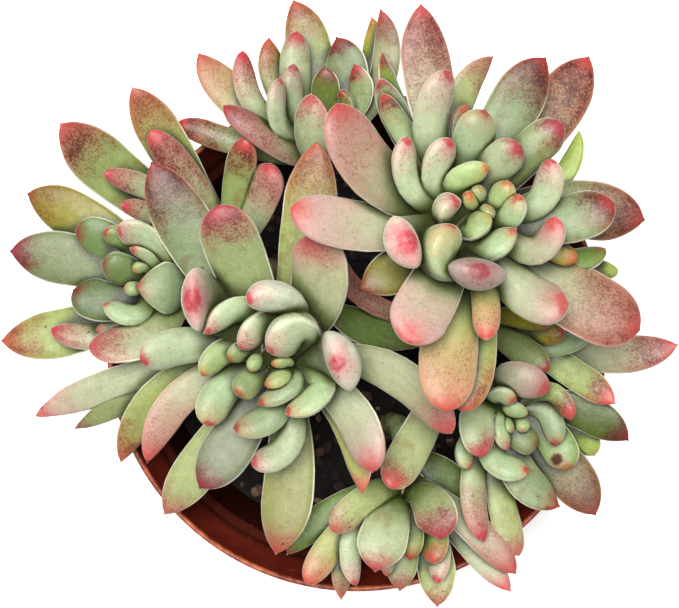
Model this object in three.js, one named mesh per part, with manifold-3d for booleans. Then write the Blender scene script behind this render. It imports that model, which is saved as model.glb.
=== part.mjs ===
// A potted Blue Apples echeveria: eight leafy heads of one clump in a round plastic nursery pot.
// Millimetres, +Z up. The origin is the middle of the pot's underside, +Y is away from the viewer.

import * as THREE from "three";
import { mergeVertices } from "three/addons/utils/BufferGeometryUtils.js";
import Module from "manifold-3d";

const wasm = await Module();
wasm.setup();

// Pot
const RIM_RADIUS = 75;
const POT_HEIGHT = 115;
const POT_WALL = 1.6;
const COLLAR_DEPTH = 21;
const COLLAR_TOP_INSIDE = 73.4;
const COLLAR_FOOT_INSIDE = 70.1;
const LEDGE_INSIDE = 67;
const BASE_INSIDE = 50.8;
const BASE_THICKNESS = 2.4;
const BASE_CHAMFER = 1.6;
const LIP_DEPTH = 3.2;
const LIP_ROUNDING = 0.5;
const POT_SECTORS = 40;
const DRAIN_HOLES = 6;
const DRAIN_RADIUS = 4;
const DRAIN_CIRCLE = 38;
const HANGER_HOLES = 3;
const HANGER_RADIUS = 1;
const HANGER_CIRCLE = 68.4;
const FIRST_HANGER_ANGLE = -62.6;
const HOLE_SIDES = 8;

// Soil
const SOIL_DEPTH = 42;
const SOIL_GAP = 0.3;
const SOIL_RELIEF = 1.3;
const SOIL_RINGS = 3;
const SOIL_SECTORS = POT_SECTORS;
const SOIL_TOP = POT_HEIGHT - SOIL_DEPTH;

// Stems
const STEM_SIDES = 8;
const STEM_SUNK = 12;
const STEM_FOOT_RADIUS = 4.4;
const STEM_NECK_RADIUS = 3.2;
const STEM_TIP_RADIUS = 1.6;
const STEM_GAP = 0.3;
const STEM_NECK = 19;
const STEM_STEPS = 5;
const STEM_BOW = 0.42;

// Leaves: every leaf is a thick spoon with six sides. Its stations are fractions of its length.
const LARGE_LEAF_STATIONS = [0, 0.42, 0.73, 0.92];
const SMALL_LEAF_STATIONS = [0, 0.56, 0.87];
const LARGE_LEAF_WIDTH = 7.7;
const LEAF_SIDES = 6;
const WIDEST_AT = 0.7;

// Half of a leaf's thickness is a small amount plus a share of its width. The root is thinner,
// and the face is flatter than the keeled back.
const LEAF_HALF_THICKNESS = 1.1;
const THICKNESS_BY_WIDTH = 0.125;
const ROOT_THICKNESS = 0.72;
const FACE_DEPTH = 0.85;
const BACK_DEPTH = 1.25;
const SWELL_POWER = 1.5;
const CLOSE_POWER = 0.62;

// How far below the apex a root sits: a start, then more by the distance of the tip from the
// axis and by how far the tip hangs below the apex.
const ROOT_START = 1.5;
const ROOT_BY_DISTANCE = 0.26;
const ROOT_BY_HANG = 0.25;

// The plant as it is seen from straight above. A tip's place in the view is given in picture
// points, and its height over the rim turns it into millimetres.
const VIEW_MIDDLE = new THREE.Vector2(339.5, 304);
const VIEW_ABOVE = new THREE.Vector2(-5.16, 11.17);
const VIEW_DISTANCE = 420;
const MM_PER_POINT_AT_RIM = 0.29928;

// The forms of leaf: how narrow the root is, how far the tip turns up, and how thick it is.
const FORMS = {
  spoon: { root: 0.46, turn: 0.2, thickest: 1, blunt: 2.3 },
  long: { root: 0.62, turn: 0.1, thickest: 0.95, blunt: 2.2 },
  club: { root: 0.66, turn: 0.45, thickest: 1.1, blunt: 3 },
  hook: { root: 0.6, turn: 0.7, thickest: 1.1, blunt: 3 },
  pad: { root: 0.5, turn: 0.93, thickest: 1.12, blunt: 3.2 },
  bud: { root: 0.75, turn: 0.55, thickest: 1.15, blunt: 2.8 },
};

// One leaf as it is seen: its tip and where its root goes out of sight, in picture points, and
// its width in millimetres. "over" is the tip's height over the rim. Without it the tip lies on
// the bowl that the head's leaves form, moved by "lift".
function leaf(tipX, tipY, rootX, rootY, width, form = "spoon", place = {}) {
  return { tip: [tipX, tipY], root: [rootX, rootY], width, form, lift: 0, ...place };
}

// The heads. "apex" is the growing point: picture point and height over the rim. "lean" is the
// angle of its axis from upright, "toward" the direction it leans to, and "foot" is where its
// stem enters the soil.
const HEADS = [
  {
    name: "head_tall",
    apex: [483, 206, 60],
    lean: 9,
    toward: 35,
    foot: [22, 20],
    leaves: [
      leaf(483, 187, 478, 200, 3.6, "bud"),
      leaf(469, 192, 476, 204, 3.6, "bud"),
      leaf(491, 208, 484, 214, 4, "bud"),
      leaf(487, 218, 470, 226, 7.2, "club"),
      leaf(505, 181, 494, 205, 5.6, "club"),
      leaf(518, 195, 506, 212, 6.6, "hook", { lift: 1 }),
      leaf(486, 164, 462, 182, 7.4, "hook", { lift: 1 }),
      leaf(458, 199, 446, 214, 8, "pad", { lift: 3 }),
      leaf(448, 226, 448, 256, 13, "pad", { lift: 4 }),
      leaf(513, 228, 480, 248, 9, "hook", { lift: 2 }),
      leaf(515, 143, 490, 180, 11, "club"),
      leaf(485, 110, 470, 162, 11.2, "club"),
      leaf(562, 122, 525, 155, 10.6, "club"),
      leaf(550, 159, 542, 200, 8, "hook", { lift: 1 }),
      leaf(556, 217, 537, 250, 8.4, "hook", { lift: 2 }),
      leaf(407, 240, 425, 235, 14.4, "pad", { lift: 9 }),
      leaf(481, 270, 478, 250, 15.4, "pad", { lift: 9 }),
      leaf(568, 304, 525, 293, 12.6, "hook"),
      leaf(451, 139, 438, 182, 8.8, "hook", { lift: 2 }),
      leaf(407, 137, 414, 190, 7.8, "hook", { lift: 2 }),
      leaf(450, 71, 430, 130, 9.9, "long"),
      leaf(486, 338, 485, 294, 7.4, "club", { lift: -2 }),
      leaf(336, 104, 405, 195, 14.8, "spoon", { lift: 4 }),
      leaf(290, 210, 415, 226, 13.2, "spoon"),
      leaf(403, 340, 445, 270, 15.6, "spoon", { lift: 4 }),
      leaf(446, 411, 455, 300, 15.6, "spoon", { lift: -1 }),
      leaf(462, 411, 475, 320, 13, "spoon", { lift: -7 }),
      leaf(421, 5, 436, 118, 13.8, "spoon", { lift: -4 }),
      leaf(493, 59, 468, 110, 7.6, "spoon", { lift: -9 }),
      leaf(468, 105, 458, 132, 4.8, "spoon", { lift: -11 }),
      leaf(543, 58, 497, 140, 14.6, "spoon", { lift: -3 }),
      leaf(588, 57, 545, 132, 10.4, "spoon", { lift: -10 }),
      leaf(579, 131, 560, 180, 4.8, "spoon", { lift: -12 }),
      leaf(612, 203, 548, 222, 14, "spoon"),
      leaf(644, 220, 560, 208, 16, "spoon", { lift: -7 }),
      leaf(640, 326, 530, 275, 19, "spoon", { lift: -5 }),
      leaf(605, 248, 560, 262, 7.6, "spoon", { lift: -14 }),
      leaf(618, 270, 575, 264, 6, "spoon", { lift: -16 }),
      leaf(576, 262, 552, 248, 6, "spoon", { lift: -10 }),
      leaf(362, 288, 415, 258, 12, "spoon", { lift: -13 }),
      leaf(383, 52, 405, 130, 6.6, "spoon", { over: 18 }),
      leaf(381, 79, 410, 145, 8.6, "spoon", { over: 26 }),
      leaf(383, 94, 415, 152, 6.4, "spoon", { over: 31 }),
    ],
  },
  {
    name: "head_wide",
    apex: [268, 368, 40],
    lean: 11,
    toward: 220,
    foot: [-14, -8],
    leaves: [
      leaf(255, 375, 262, 364, 4.8, "bud"),
      leaf(272, 364, 280, 358, 4, "bud"),
      leaf(265, 382, 284, 372, 5.4, "bud"),
      leaf(228, 360, 256, 350, 6.2, "club"),
      leaf(240, 390, 265, 375, 8.6, "club"),
      leaf(240, 348, 270, 325, 8.8, "club", { lift: 1 }),
      leaf(256, 403, 282, 382, 7.4, "hook", { lift: 1 }),
      leaf(268, 351, 292, 334, 13.5, "hook", { lift: 4 }),
      leaf(201, 370, 245, 358, 9, "club"),
      leaf(208, 331, 238, 318, 9, "hook", { lift: 3 }),
      leaf(208, 421, 240, 385, 9.7, "club"),
      leaf(237, 428, 272, 416, 9.4, "hook"),
      leaf(286, 413, 316, 386, 9.6, "hook", { lift: 2 }),
      leaf(190, 295, 215, 315, 16.6, "pad", { lift: 10 }),
      leaf(248, 299, 262, 318, 16, "pad", { lift: 9 }),
      leaf(335, 372, 330, 350, 17, "pad", { lift: 9 }),
      leaf(141, 361, 186, 346, 10.8, "hook", { lift: 2 }),
      leaf(152, 163, 225, 290, 16.2, "spoon"),
      leaf(216, 206, 255, 310, 16.2, "spoon", { lift: 5 }),
      leaf(315, 233, 308, 320, 16.4, "spoon", { lift: 5 }),
      leaf(453, 434, 398, 374, 11.8, "long"),
      leaf(372, 472, 352, 410, 10.8, "long", { lift: 1 }),
      leaf(362, 493, 345, 420, 8.6, "spoon", { lift: -7 }),
      leaf(276, 553, 290, 470, 15, "spoon", { lift: -4 }),
      leaf(251, 463, 288, 444, 8.6, "hook"),
      leaf(200, 488, 240, 430, 14.4, "spoon", { lift: -2 }),
      leaf(165, 514, 225, 430, 13, "spoon", { lift: -9 }),
      leaf(147, 462, 178, 400, 9.6, "long", { lift: -4 }),
      leaf(121, 461, 172, 385, 8.6, "spoon", { lift: -11 }),
      leaf(36, 416, 150, 374, 10, "long", { lift: -4 }),
      leaf(75, 429, 150, 392, 6.6, "spoon", { lift: -10 }),
      leaf(317, 143, 303, 250, 15, "spoon", { lift: -5 }),
    ],
  },
  {
    name: "head_left",
    apex: [132, 286, 18],
    lean: 56,
    toward: 180,
    foot: [-40, 4],
    leaves: [
      leaf(124, 288, 136, 288, 4.6, "bud", { over: 21 }),
      leaf(133, 272, 146, 268, 5, "bud", { over: 20 }),
      leaf(102, 265, 132, 275, 9.6, "club", { over: 20 }),
      leaf(104, 302, 150, 312, 6.6, "club", { over: 20 }),
      leaf(136, 286, 168, 287, 13, "hook", { over: 27 }),
      leaf(117, 229, 160, 250, 11.4, "hook", { over: 26 }),
      leaf(103, 232, 128, 243, 6.6, "club", { over: 20 }),
      leaf(130, 248, 156, 266, 4.6, "club", { over: 23 }),
      leaf(76, 230, 125, 250, 11.4, "club", { over: 14 }),
      leaf(73, 289, 128, 300, 12.4, "club", { over: 14 }),
      leaf(88, 345, 180, 322, 12.4, "spoon", { over: 21 }),
      leaf(96, 330, 120, 322, 5.4, "club", { over: 14 }),
      leaf(51, 329, 110, 333, 8, "club", { over: 12 }),
      leaf(11, 251, 115, 270, 15.6, "spoon", { over: 10 }),
      leaf(28, 196, 98, 230, 14.6, "spoon", { over: 7 }),
      leaf(2, 341, 90, 324, 14.6, "spoon", { over: 6 }),
      leaf(80, 298, 118, 285, 9, "spoon", { over: 5 }),
    ],
  },
  {
    name: "head_inner",
    apex: [222, 240, 12],
    lean: 22,
    toward: 130,
    foot: [-26, 22],
    leaves: [
      leaf(218, 244, 224, 236, 5, "bud", { over: 15 }),
      leaf(232, 250, 226, 238, 5, "bud", { over: 15 }),
      leaf(133, 88, 170, 150, 13, "spoon", { over: 17 }),
      leaf(150, 131, 195, 190, 9.6, "club", { over: 16 }),
      leaf(61, 124, 118, 176, 16.4, "spoon", { over: 21 }),
      leaf(104, 173, 160, 193, 7, "club", { over: 18 }),
      leaf(121, 205, 160, 215, 6, "club", { over: 16 }),
      leaf(247, 138, 230, 200, 9.4, "club", { over: 20 }),
      leaf(272, 165, 248, 215, 11.4, "club", { over: 18 }),
    ],
  },
  {
    name: "head_top",
    apex: [319, 122, 13],
    lean: 52,
    toward: 92,
    foot: [-6, 38],
    leaves: [
      leaf(325, 68, 325, 100, 8, "club", { over: 17 }),
      leaf(354, 66, 360, 98, 7.4, "club", { over: 15 }),
      leaf(294, 64, 300, 120, 6.6, "club", { over: 18 }),
      leaf(280, 78, 290, 140, 6.4, "club", { over: 23 }),
      leaf(311, 95, 316, 160, 11.4, "club", { over: 28 }),
      leaf(340, 90, 346, 112, 5, "club", { over: 20 }),
      leaf(297, 32, 302, 105, 9.4, "club", { over: 11 }),
      leaf(337, 38, 345, 100, 13, "spoon", { over: 9 }),
      leaf(294, 1, 318, 85, 13.4, "spoon", { over: 6 }),
      leaf(269, 38, 285, 105, 8.4, "spoon", { over: 7 }),
      leaf(243, 51, 268, 125, 7.4, "club", { over: 14 }),
      leaf(199, 54, 262, 125, 11.4, "spoon", { over: 7 }),
      leaf(224, 106, 300, 155, 8.4, "club", { over: 22 }),
      leaf(178, 122, 235, 142, 7.8, "club", { over: 6 }),
      leaf(381, 10, 380, 90, 8.6, "spoon", { over: 9 }),
      leaf(372, 18, 368, 90, 8.4, "spoon", { over: 5 }),
    ],
  },
  {
    name: "head_under",
    apex: [482, 322, 16],
    lean: 8,
    toward: 300,
    foot: [26, 2],
    leaves: [
      leaf(478, 318, 484, 326, 5, "bud", { over: 19 }),
      leaf(488, 330, 482, 322, 5, "bud", { over: 19 }),
      leaf(546, 369, 500, 334, 8.6, "club", { over: 20 }),
      leaf(565, 334, 510, 327, 7.6, "club", { over: 18 }),
      leaf(553, 322, 510, 318, 6.6, "club", { over: 22 }),
      leaf(592, 337, 535, 345, 6.6, "spoon", { over: 12 }),
      leaf(677, 345, 600, 354, 11.4, "spoon", { over: 12 }),
      leaf(614, 403, 570, 371, 9, "long", { over: 17 }),
      leaf(388, 487, 418, 435, 11.4, "spoon", { over: 21.5 }),
      leaf(325, 305, 395, 335, 10.4, "spoon", { over: 15 }),
      leaf(333, 240, 366, 296, 6, "long", { over: 22 }),
    ],
  },
  {
    name: "head_right",
    apex: [517, 416, 16],
    lean: 24,
    toward: 320,
    foot: [36, -20],
    leaves: [
      leaf(524, 431, 520, 420, 4.6, "bud"),
      leaf(512, 432, 508, 420, 4, "bud"),
      leaf(528, 414, 505, 406, 5.4, "bud"),
      leaf(515, 402, 495, 396, 5.4, "club", { lift: 2 }),
      leaf(536, 447, 516, 430, 7.4, "club"),
      leaf(508, 449, 496, 412, 6.6, "club", { lift: 1 }),
      leaf(554, 445, 543, 418, 8.6, "hook", { lift: 1 }),
      leaf(548, 389, 515, 380, 12, "hook", { lift: 5 }),
      leaf(480, 454, 474, 420, 12, "hook", { lift: 3 }),
      leaf(528, 470, 488, 455, 8.4, "club", { over: 16 }),
      leaf(567, 468, 548, 438, 11.6, "hook", { over: 12 }),
      leaf(571, 419, 555, 398, 7.6, "hook", { over: 17 }),
      leaf(559, 505, 512, 462, 11.6, "spoon", { over: 10 }),
      leaf(596, 514, 562, 464, 14, "spoon", { over: 6 }),
      leaf(594, 455, 562, 420, 8.6, "spoon", { over: 4 }),
      leaf(628, 439, 578, 410, 10.8, "spoon", { over: 10 }),
      leaf(471, 467, 464, 445, 6.4, "club", { lift: -3 }),
      leaf(484, 540, 474, 478, 9.6, "long", { over: 14 }),
      leaf(519, 554, 500, 460, 10, "long", { over: 7 }),
    ],
  },
  {
    name: "head_bottom",
    apex: [404, 510, 9],
    lean: 56,
    toward: 268,
    foot: [8, -30],
    leaves: [
      leaf(410, 560, 410, 517, 6.4, "club", { over: 14 }),
      leaf(432, 563, 434, 536, 8, "club", { over: 14 }),
      leaf(386, 575, 392, 550, 5, "club", { over: 9 }),
      leaf(375, 571, 390, 515, 14, "spoon", { over: 22 }),
      leaf(442, 538, 424, 492, 15.4, "club", { over: 20 }),
      leaf(333, 532, 382, 490, 9, "club", { over: 18 }),
      leaf(400, 590, 402, 551, 9.6, "spoon", { over: 7 }),
      leaf(436, 583, 438, 550, 7, "club", { over: 11 }),
      leaf(437, 606, 432, 560, 11.6, "spoon", { over: 6 }),
      leaf(356, 585, 356, 525, 6.6, "club", { over: 11 }),
      leaf(341, 598, 350, 545, 7.4, "spoon", { over: 6 }),
      leaf(307, 584, 345, 528, 8.4, "spoon", { over: 12 }),
      leaf(287, 554, 335, 500, 8.4, "spoon", { over: 5 }),
      leaf(515, 573, 462, 514, 9.4, "long", { over: 9 }),
      leaf(510, 591, 470, 544, 8.4, "long", { over: 6 }),
      leaf(464, 508, 432, 455, 11.6, "spoon", { over: -4 }),
    ],
  },
];

// A head whose axis has at least this share of its length level is one that lies over.
const LYING_OVER = 0.6;

// The bowl: how high over the apex a tip stands, along the axis, by its distance from the axis.
const BOWL_RISE = 2;
const BOWL_SLOPE = 0.06;
const BOWL_FALL = 0.0045;

const radians = THREE.MathUtils.degToRad;

// The point over the rim plane that is seen at a picture point, at a height over the rim.
function seenAt(point, over) {
  const scale = (MM_PER_POINT_AT_RIM * (VIEW_DISTANCE - over)) / VIEW_DISTANCE;
  const x = VIEW_ABOVE.x + (point[0] - VIEW_MIDDLE.x) * scale;
  const y = VIEW_ABOVE.y - (point[1] - VIEW_MIDDLE.y) * scale;
  return new THREE.Vector3(x, y, POT_HEIGHT + over);
}

function headAxis(head) {
  const lean = radians(head.lean);
  const toward = radians(head.toward);
  return new THREE.Vector3(
    Math.sin(lean) * Math.cos(toward),
    Math.sin(lean) * Math.sin(toward),
    Math.cos(lean),
  );
}

// A point's distance along an axis from a start, and the vector from the axis out to it.
function fromAxis(point, start, axis) {
  const offset = point.clone().sub(start);
  const along = offset.dot(axis);
  const outward = offset.addScaledVector(axis, -along);
  return { along, outward, distance: outward.length() };
}

function bowl(distance) {
  return BOWL_RISE + BOWL_SLOPE * distance - BOWL_FALL * distance * distance;
}

// A tip's height over the rim, found on the head's bowl by halving where it isn't given.
function tipHeight(row, apex, axis) {
  if (row.over !== undefined) return row.over;
  let low = -SOIL_DEPTH;
  let high = VIEW_DISTANCE / 3;
  for (let step = 0; step < 30; step += 1) {
    const middle = (low + high) / 2;
    const place = fromAxis(seenAt(row.tip, middle), apex, axis);
    if (place.along > bowl(place.distance) + row.lift) high = middle;
    else low = middle;
  }
  return low;
}

// How far down the stem a leaf's root sits: from how far out its tip is, and in a head that
// lies over, at least as far back as the root is seen.
function rootDrop(row, place, apex, axis) {
  let drop = ROOT_START + ROOT_BY_DISTANCE * place.distance - ROOT_BY_HANG * Math.min(place.along, 0);
  const level = Math.hypot(axis.x, axis.y);
  if (level > LYING_OVER) {
    const seen = seenAt(row.root, apex.z - POT_HEIGHT).sub(apex);
    drop = Math.max(drop, -(seen.x * axis.x + seen.y * axis.y) / (level * level));
  }
  return Math.min(drop, STEM_NECK);
}

// A leaf that turns up more than this stands on end. Of the others the root goes out of sight
// somewhere between these fractions of their length.
const UPRIGHT_TURN = 0.8;
const SEEN_EARLIEST = 0.34;
const SEEN_LATEST = 0.6;

// A leaf's centre line: root on the stem, tip where it is seen, bowed the way it lies.
function centreLine(row, apex, axis) {
  const over = tipHeight(row, apex, axis);
  const tip = seenAt(row.tip, over);
  const place = fromAxis(tip, apex, axis);
  const outward = place.outward.clone().normalize();
  const root = apex.clone().addScaledVector(axis, -rootDrop(row, place, apex, axis));
  root.addScaledVector(outward, STEM_TIP_RADIUS / 2);

  const form = FORMS[row.form];
  const rise = tip.clone().sub(root).dot(axis);
  const bend = form.turn > UPRIGHT_TURN ? tip.clone() : bendThroughSeen(row, root, tip, over);
  bend.addScaledVector(axis, root.clone().sub(bend).dot(axis) + rise * (0.5 - 0.5 * form.turn));
  return { curve: new THREE.QuadraticBezierCurve3(root, bend, tip), outward, axis, row, form };
}

// The bend that takes a leaf's centre line through the place where its root goes out of sight.
function bendThroughSeen(row, root, tip, over) {
  const seen = seenAt(row.root, (root.z - POT_HEIGHT + over) / 2);
  const hidden = Math.hypot(seen.x - root.x, seen.y - root.y);
  const shown = Math.hypot(tip.x - seen.x, tip.y - seen.y);
  const at = THREE.MathUtils.clamp(hidden / (hidden + shown), SEEN_EARLIEST, SEEN_LATEST);
  const bend = seen.addScaledVector(root, -((1 - at) ** 2)).addScaledVector(tip, -(at ** 2));
  return bend.divideScalar(2 * at * (1 - at));
}

// Half width and half thickness of a leaf at a fraction of its length.
function leafSection(line, at) {
  const { row, form } = line;
  const half = row.width / 2;
  const thick = (LEAF_HALF_THICKNESS + THICKNESS_BY_WIDTH * row.width) * form.thickest;
  if (at <= WIDEST_AT) {
    const swell = Math.sin((Math.PI / 2) * (at / WIDEST_AT)) ** SWELL_POWER;
    return {
      half: half * THREE.MathUtils.lerp(form.root, 1, swell),
      thick: thick * THREE.MathUtils.lerp(ROOT_THICKNESS, 1, swell),
    };
  }
  const end = (at - WIDEST_AT) / (1 - WIDEST_AT);
  const close = (1 - end ** form.blunt) ** CLOSE_POWER;
  return { half: half * close, thick: thick * close };
}

// A closed solid through rings of points. Every ring has the same number of points, and the
// last one may be a single point.
function loft(rings) {
  const points = rings.flat();
  const sides = rings[0].length;
  const faces = [];
  for (let ring = 0; ring + 1 < rings.length; ring += 1) {
    for (let side = 0; side < sides; side += 1) {
      const next = (side + 1) % sides;
      const here = ring * sides;
      const there = here + sides;
      if (rings[ring + 1].length === 1) {
        faces.push(here + side, here + next, there);
      } else {
        faces.push(here + side, here + next, there + next);
        faces.push(here + side, there + next, there + side);
      }
    }
  }
  for (let side = 1; side + 1 < sides; side += 1) faces.push(0, side + 1, side);
  if (rings.at(-1).length > 1) {
    const end = (rings.length - 1) * sides;
    for (let side = 1; side + 1 < sides; side += 1) faces.push(end, end + side, end + side + 1);
  }
  const geometry = new THREE.BufferGeometry().setFromPoints(points);
  geometry.setIndex(faces);
  return geometry;
}

// Leaves turn their faces from the head's axis some way up to the light.
const UPWARD = new THREE.Vector3(0, 0, 1);
const TO_THE_LIGHT = 0.6;

// One leaf: six-sided rings along its centre line, flatter on the face than on the keeled back.
function leafGeometry(line) {
  const { curve, outward, axis } = line;
  const stations = line.row.width < LARGE_LEAF_WIDTH ? SMALL_LEAF_STATIONS : LARGE_LEAF_STATIONS;
  const rings = stations.map((at) => {
    const centre = curve.getPoint(at);
    const along = curve.getTangent(at);
    const light = TO_THE_LIGHT * (1 - Math.max(outward.z, 0));
    const face = axis.clone().lerp(UPWARD, light).sub(outward);
    face.addScaledVector(along, -face.dot(along)).normalize();
    const side = face.clone().cross(along).normalize();
    const { half, thick } = leafSection(line, at);
    return Array.from({ length: LEAF_SIDES }, (_, corner) => {
      const turn = (2 * Math.PI * corner) / LEAF_SIDES;
      const up = thick * (Math.sin(turn) > 0 ? FACE_DEPTH : BACK_DEPTH);
      return centre
        .clone()
        .addScaledVector(side, half * Math.cos(turn))
        .addScaledVector(face, up * Math.sin(turn));
    });
  });
  rings.push([curve.getPoint(1)]);
  return loft(rings);
}

// A head's stem: upright in the soil, then bent over to the head's axis, and slim at the apex.
function stemGeometry(head, apex, axis) {
  const foot = new THREE.Vector3(head.foot[0], head.foot[1], SOIL_TOP - STEM_SUNK);
  const collar = foot.clone().setZ(SOIL_TOP + SOIL_RELIEF + 1);
  const neck = apex.clone().addScaledVector(axis, -STEM_NECK);
  const reach = collar.distanceTo(neck) * STEM_BOW;
  const bend = new THREE.CubicBezierCurve3(
    collar,
    collar.clone().add(new THREE.Vector3(0, 0, reach)),
    neck.clone().addScaledVector(axis, -reach),
    neck,
  );
  const spine = [foot];
  for (let step = 0; step <= STEM_STEPS; step += 1) spine.push(bend.getPoint(step / STEM_STEPS));
  spine.push(apex.clone().addScaledVector(axis, -1));
  const across = new THREE.Vector3(1, 0, 0);
  const rings = spine.map((centre, index) => {
    const before = spine[Math.max(index - 1, 0)];
    const after = spine[Math.min(index + 1, spine.length - 1)];
    const along = after.clone().sub(before).normalize();
    if (index <= 1) along.set(0, 0, 1);
    across.addScaledVector(along, -across.dot(along)).normalize();
    const other = along.clone().cross(across);
    const done = Math.max(index - 1, 0) / (spine.length - 3);
    const slimmed = THREE.MathUtils.lerp(STEM_FOOT_RADIUS, STEM_NECK_RADIUS, done);
    const radius = done > 1 ? STEM_TIP_RADIUS : slimmed;
    return Array.from({ length: STEM_SIDES }, (_, corner) => {
      const turn = (2 * Math.PI * corner) / STEM_SIDES;
      return centre
        .clone()
        .addScaledVector(across, radius * Math.cos(turn))
        .addScaledVector(other, radius * Math.sin(turn));
    });
  });
  return loft(rings);
}

function toSolid(geometry) {
  geometry.deleteAttribute("normal");
  geometry.deleteAttribute("uv");
  const merged = mergeVertices(geometry, 1e-4);
  return new wasm.Manifold(
    new wasm.Mesh({
      numProp: 3,
      vertProperties: new Float32Array(merged.attributes.position.array),
      triVerts: new Uint32Array(merged.index.array),
    }),
  );
}

function toMesh(solid, name, material) {
  const { numProp, vertProperties, triVerts } = solid.getMesh();
  const geometry = new THREE.BufferGeometry();
  const corners = new Float32Array((vertProperties.length / numProp) * 3);
  for (let vertex = 0; vertex < corners.length / 3; vertex += 1) {
    corners.set(vertProperties.subarray(vertex * numProp, vertex * numProp + 3), vertex * 3);
  }
  geometry.setAttribute("position", new THREE.BufferAttribute(corners, 3));
  geometry.setIndex([...triVerts]);
  geometry.computeVertexNormals();
  const mesh = new THREE.Mesh(geometry, material);
  mesh.name = name;
  return mesh;
}

// A head: its stem and all of its leaves, grown together as one solid. Hollows that the crowded
// roots close off are filled.
const SMALLEST_STEP = 0.03;

function headSolid(head) {
  const apex = seenAt(head.apex, head.apex[2]);
  const axis = headAxis(head);
  const grown = [toSolid(stemGeometry(head, apex, axis))];
  for (const row of head.leaves) grown.push(toSolid(leafGeometry(centreLine(row, apex, axis))));
  const pieces = wasm.Manifold.union(grown).simplify(SMALLEST_STEP).decompose();
  return pieces.reduce((whole, piece) => (piece.volume() > whole.volume() ? piece : whole));
}

// An upright round bar, for a hole.
function bar(radius, x, y, bottom, top, sides) {
  const geometry = new THREE.CylinderGeometry(radius, radius, top - bottom, sides);
  geometry.rotateX(Math.PI / 2);
  geometry.translate(x, y, (bottom + top) / 2);
  return toSolid(geometry);
}

function around(count, circle, firstDegrees) {
  return Array.from({ length: count }, (_, index) => {
    const angle = radians(firstDegrees) + (2 * Math.PI * index) / count;
    return [circle * Math.cos(angle), circle * Math.sin(angle)];
  });
}

const LEDGE_Z = POT_HEIGHT - COLLAR_DEPTH;

function potSolid() {
  const inside = [
    [BASE_INSIDE, BASE_THICKNESS],
    [LEDGE_INSIDE, LEDGE_Z],
    [COLLAR_FOOT_INSIDE, LEDGE_Z],
    [COLLAR_TOP_INSIDE, POT_HEIGHT - LIP_ROUNDING],
  ];
  const outside = [
    [COLLAR_TOP_INSIDE + LIP_ROUNDING, POT_HEIGHT],
    [RIM_RADIUS - LIP_ROUNDING, POT_HEIGHT],
    [RIM_RADIUS, POT_HEIGHT - LIP_ROUNDING],
    [RIM_RADIUS, POT_HEIGHT - LIP_DEPTH],
    [COLLAR_FOOT_INSIDE + POT_WALL, LEDGE_Z - POT_WALL],
    [LEDGE_INSIDE + POT_WALL, LEDGE_Z - POT_WALL],
    [BASE_INSIDE + POT_WALL, BASE_CHAMFER],
    [BASE_INSIDE + POT_WALL - BASE_CHAMFER, 0],
  ];
  const profile = [[0, BASE_THICKNESS], ...inside, ...outside, [0, 0]].reverse();
  const lathe = new THREE.LatheGeometry(profile.map(([r, z]) => new THREE.Vector2(r, z)), POT_SECTORS);
  lathe.rotateX(Math.PI / 2);
  let pot = toSolid(lathe);
  for (const [x, y] of around(DRAIN_HOLES, DRAIN_CIRCLE, 0)) {
    pot = pot.subtract(bar(DRAIN_RADIUS, x, y, -1, BASE_THICKNESS + 1, HOLE_SIDES));
  }
  for (const [x, y] of around(HANGER_HOLES, HANGER_CIRCLE, FIRST_HANGER_ANGLE)) {
    pot = pot.subtract(bar(HANGER_RADIUS, x, y, LEDGE_Z - POT_WALL - 1, LEDGE_Z + 1, HOLE_SIDES));
  }
  return pot;
}

// The pot's inner radius at a height, below its step.
function potInside(z) {
  return THREE.MathUtils.mapLinear(z, BASE_THICKNESS, LEDGE_Z, BASE_INSIDE, LEDGE_INSIDE);
}

// Soil: one filling with an uneven top, and a plain round hole for each stem.
function soilSolid() {
  const bottom = BASE_THICKNESS + SOIL_GAP;
  const flat = (radius, z) => Array.from({ length: SOIL_SECTORS }, (_, sector) => {
    const turn = (2 * Math.PI * sector) / SOIL_SECTORS;
    return new THREE.Vector3(radius * Math.cos(turn), radius * Math.sin(turn), z);
  });
  const rings = [flat(potInside(bottom) - SOIL_GAP, bottom)];
  for (let ring = SOIL_RINGS; ring >= 1; ring -= 1) {
    const share = ring / SOIL_RINGS;
    const surface = flat((potInside(SOIL_TOP - 2 * SOIL_RELIEF) - SOIL_GAP) * share, SOIL_TOP);
    surface.forEach((point, sector) => {
      const bump = Math.sin(2.1 * sector + 1.7 * ring) * Math.cos(1.3 * sector - 2.3 * ring);
      point.z += SOIL_RELIEF * bump - (ring === SOIL_RINGS ? SOIL_RELIEF : 0);
    });
    rings.push(surface);
  }
  rings.push([new THREE.Vector3(0, 0, SOIL_TOP)]);
  let soil = toSolid(loft(rings));
  for (const head of HEADS) {
    const hole = STEM_FOOT_RADIUS + STEM_GAP;
    const [x, y] = head.foot;
    soil = soil.subtract(bar(hole, x, y, SOIL_TOP - STEM_SUNK - STEM_GAP, POT_HEIGHT, STEM_SIDES));
  }
  return soil;
}

const potPlastic = new THREE.MeshStandardMaterial({ color: 0x8e4a2c, roughness: 0.5, metalness: 0 });
const darkSoil = new THREE.MeshStandardMaterial({ color: 0x1d1714, roughness: 0.95, metalness: 0 });
const leafSkin = () => new THREE.MeshStandardMaterial({ color: 0xa9bf92, roughness: 0.6, metalness: 0 });

const part = new THREE.Group();
part.add(toMesh(potSolid(), "pot", potPlastic));
part.add(toMesh(soilSolid(), "soil", darkSoil));
for (const head of HEADS) part.add(toMesh(headSolid(head), head.name, leafSkin()));

export default part;
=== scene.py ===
"""A potted echeveria clump: its finished surfaces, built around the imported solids.

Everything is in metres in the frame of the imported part: +Z up, the origin in the middle of the
pot's underside, +Y away from the viewer. Sizes in the tables are in millimetres, as in the
part's source, and become metres where a mesh is made.
"""

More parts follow.
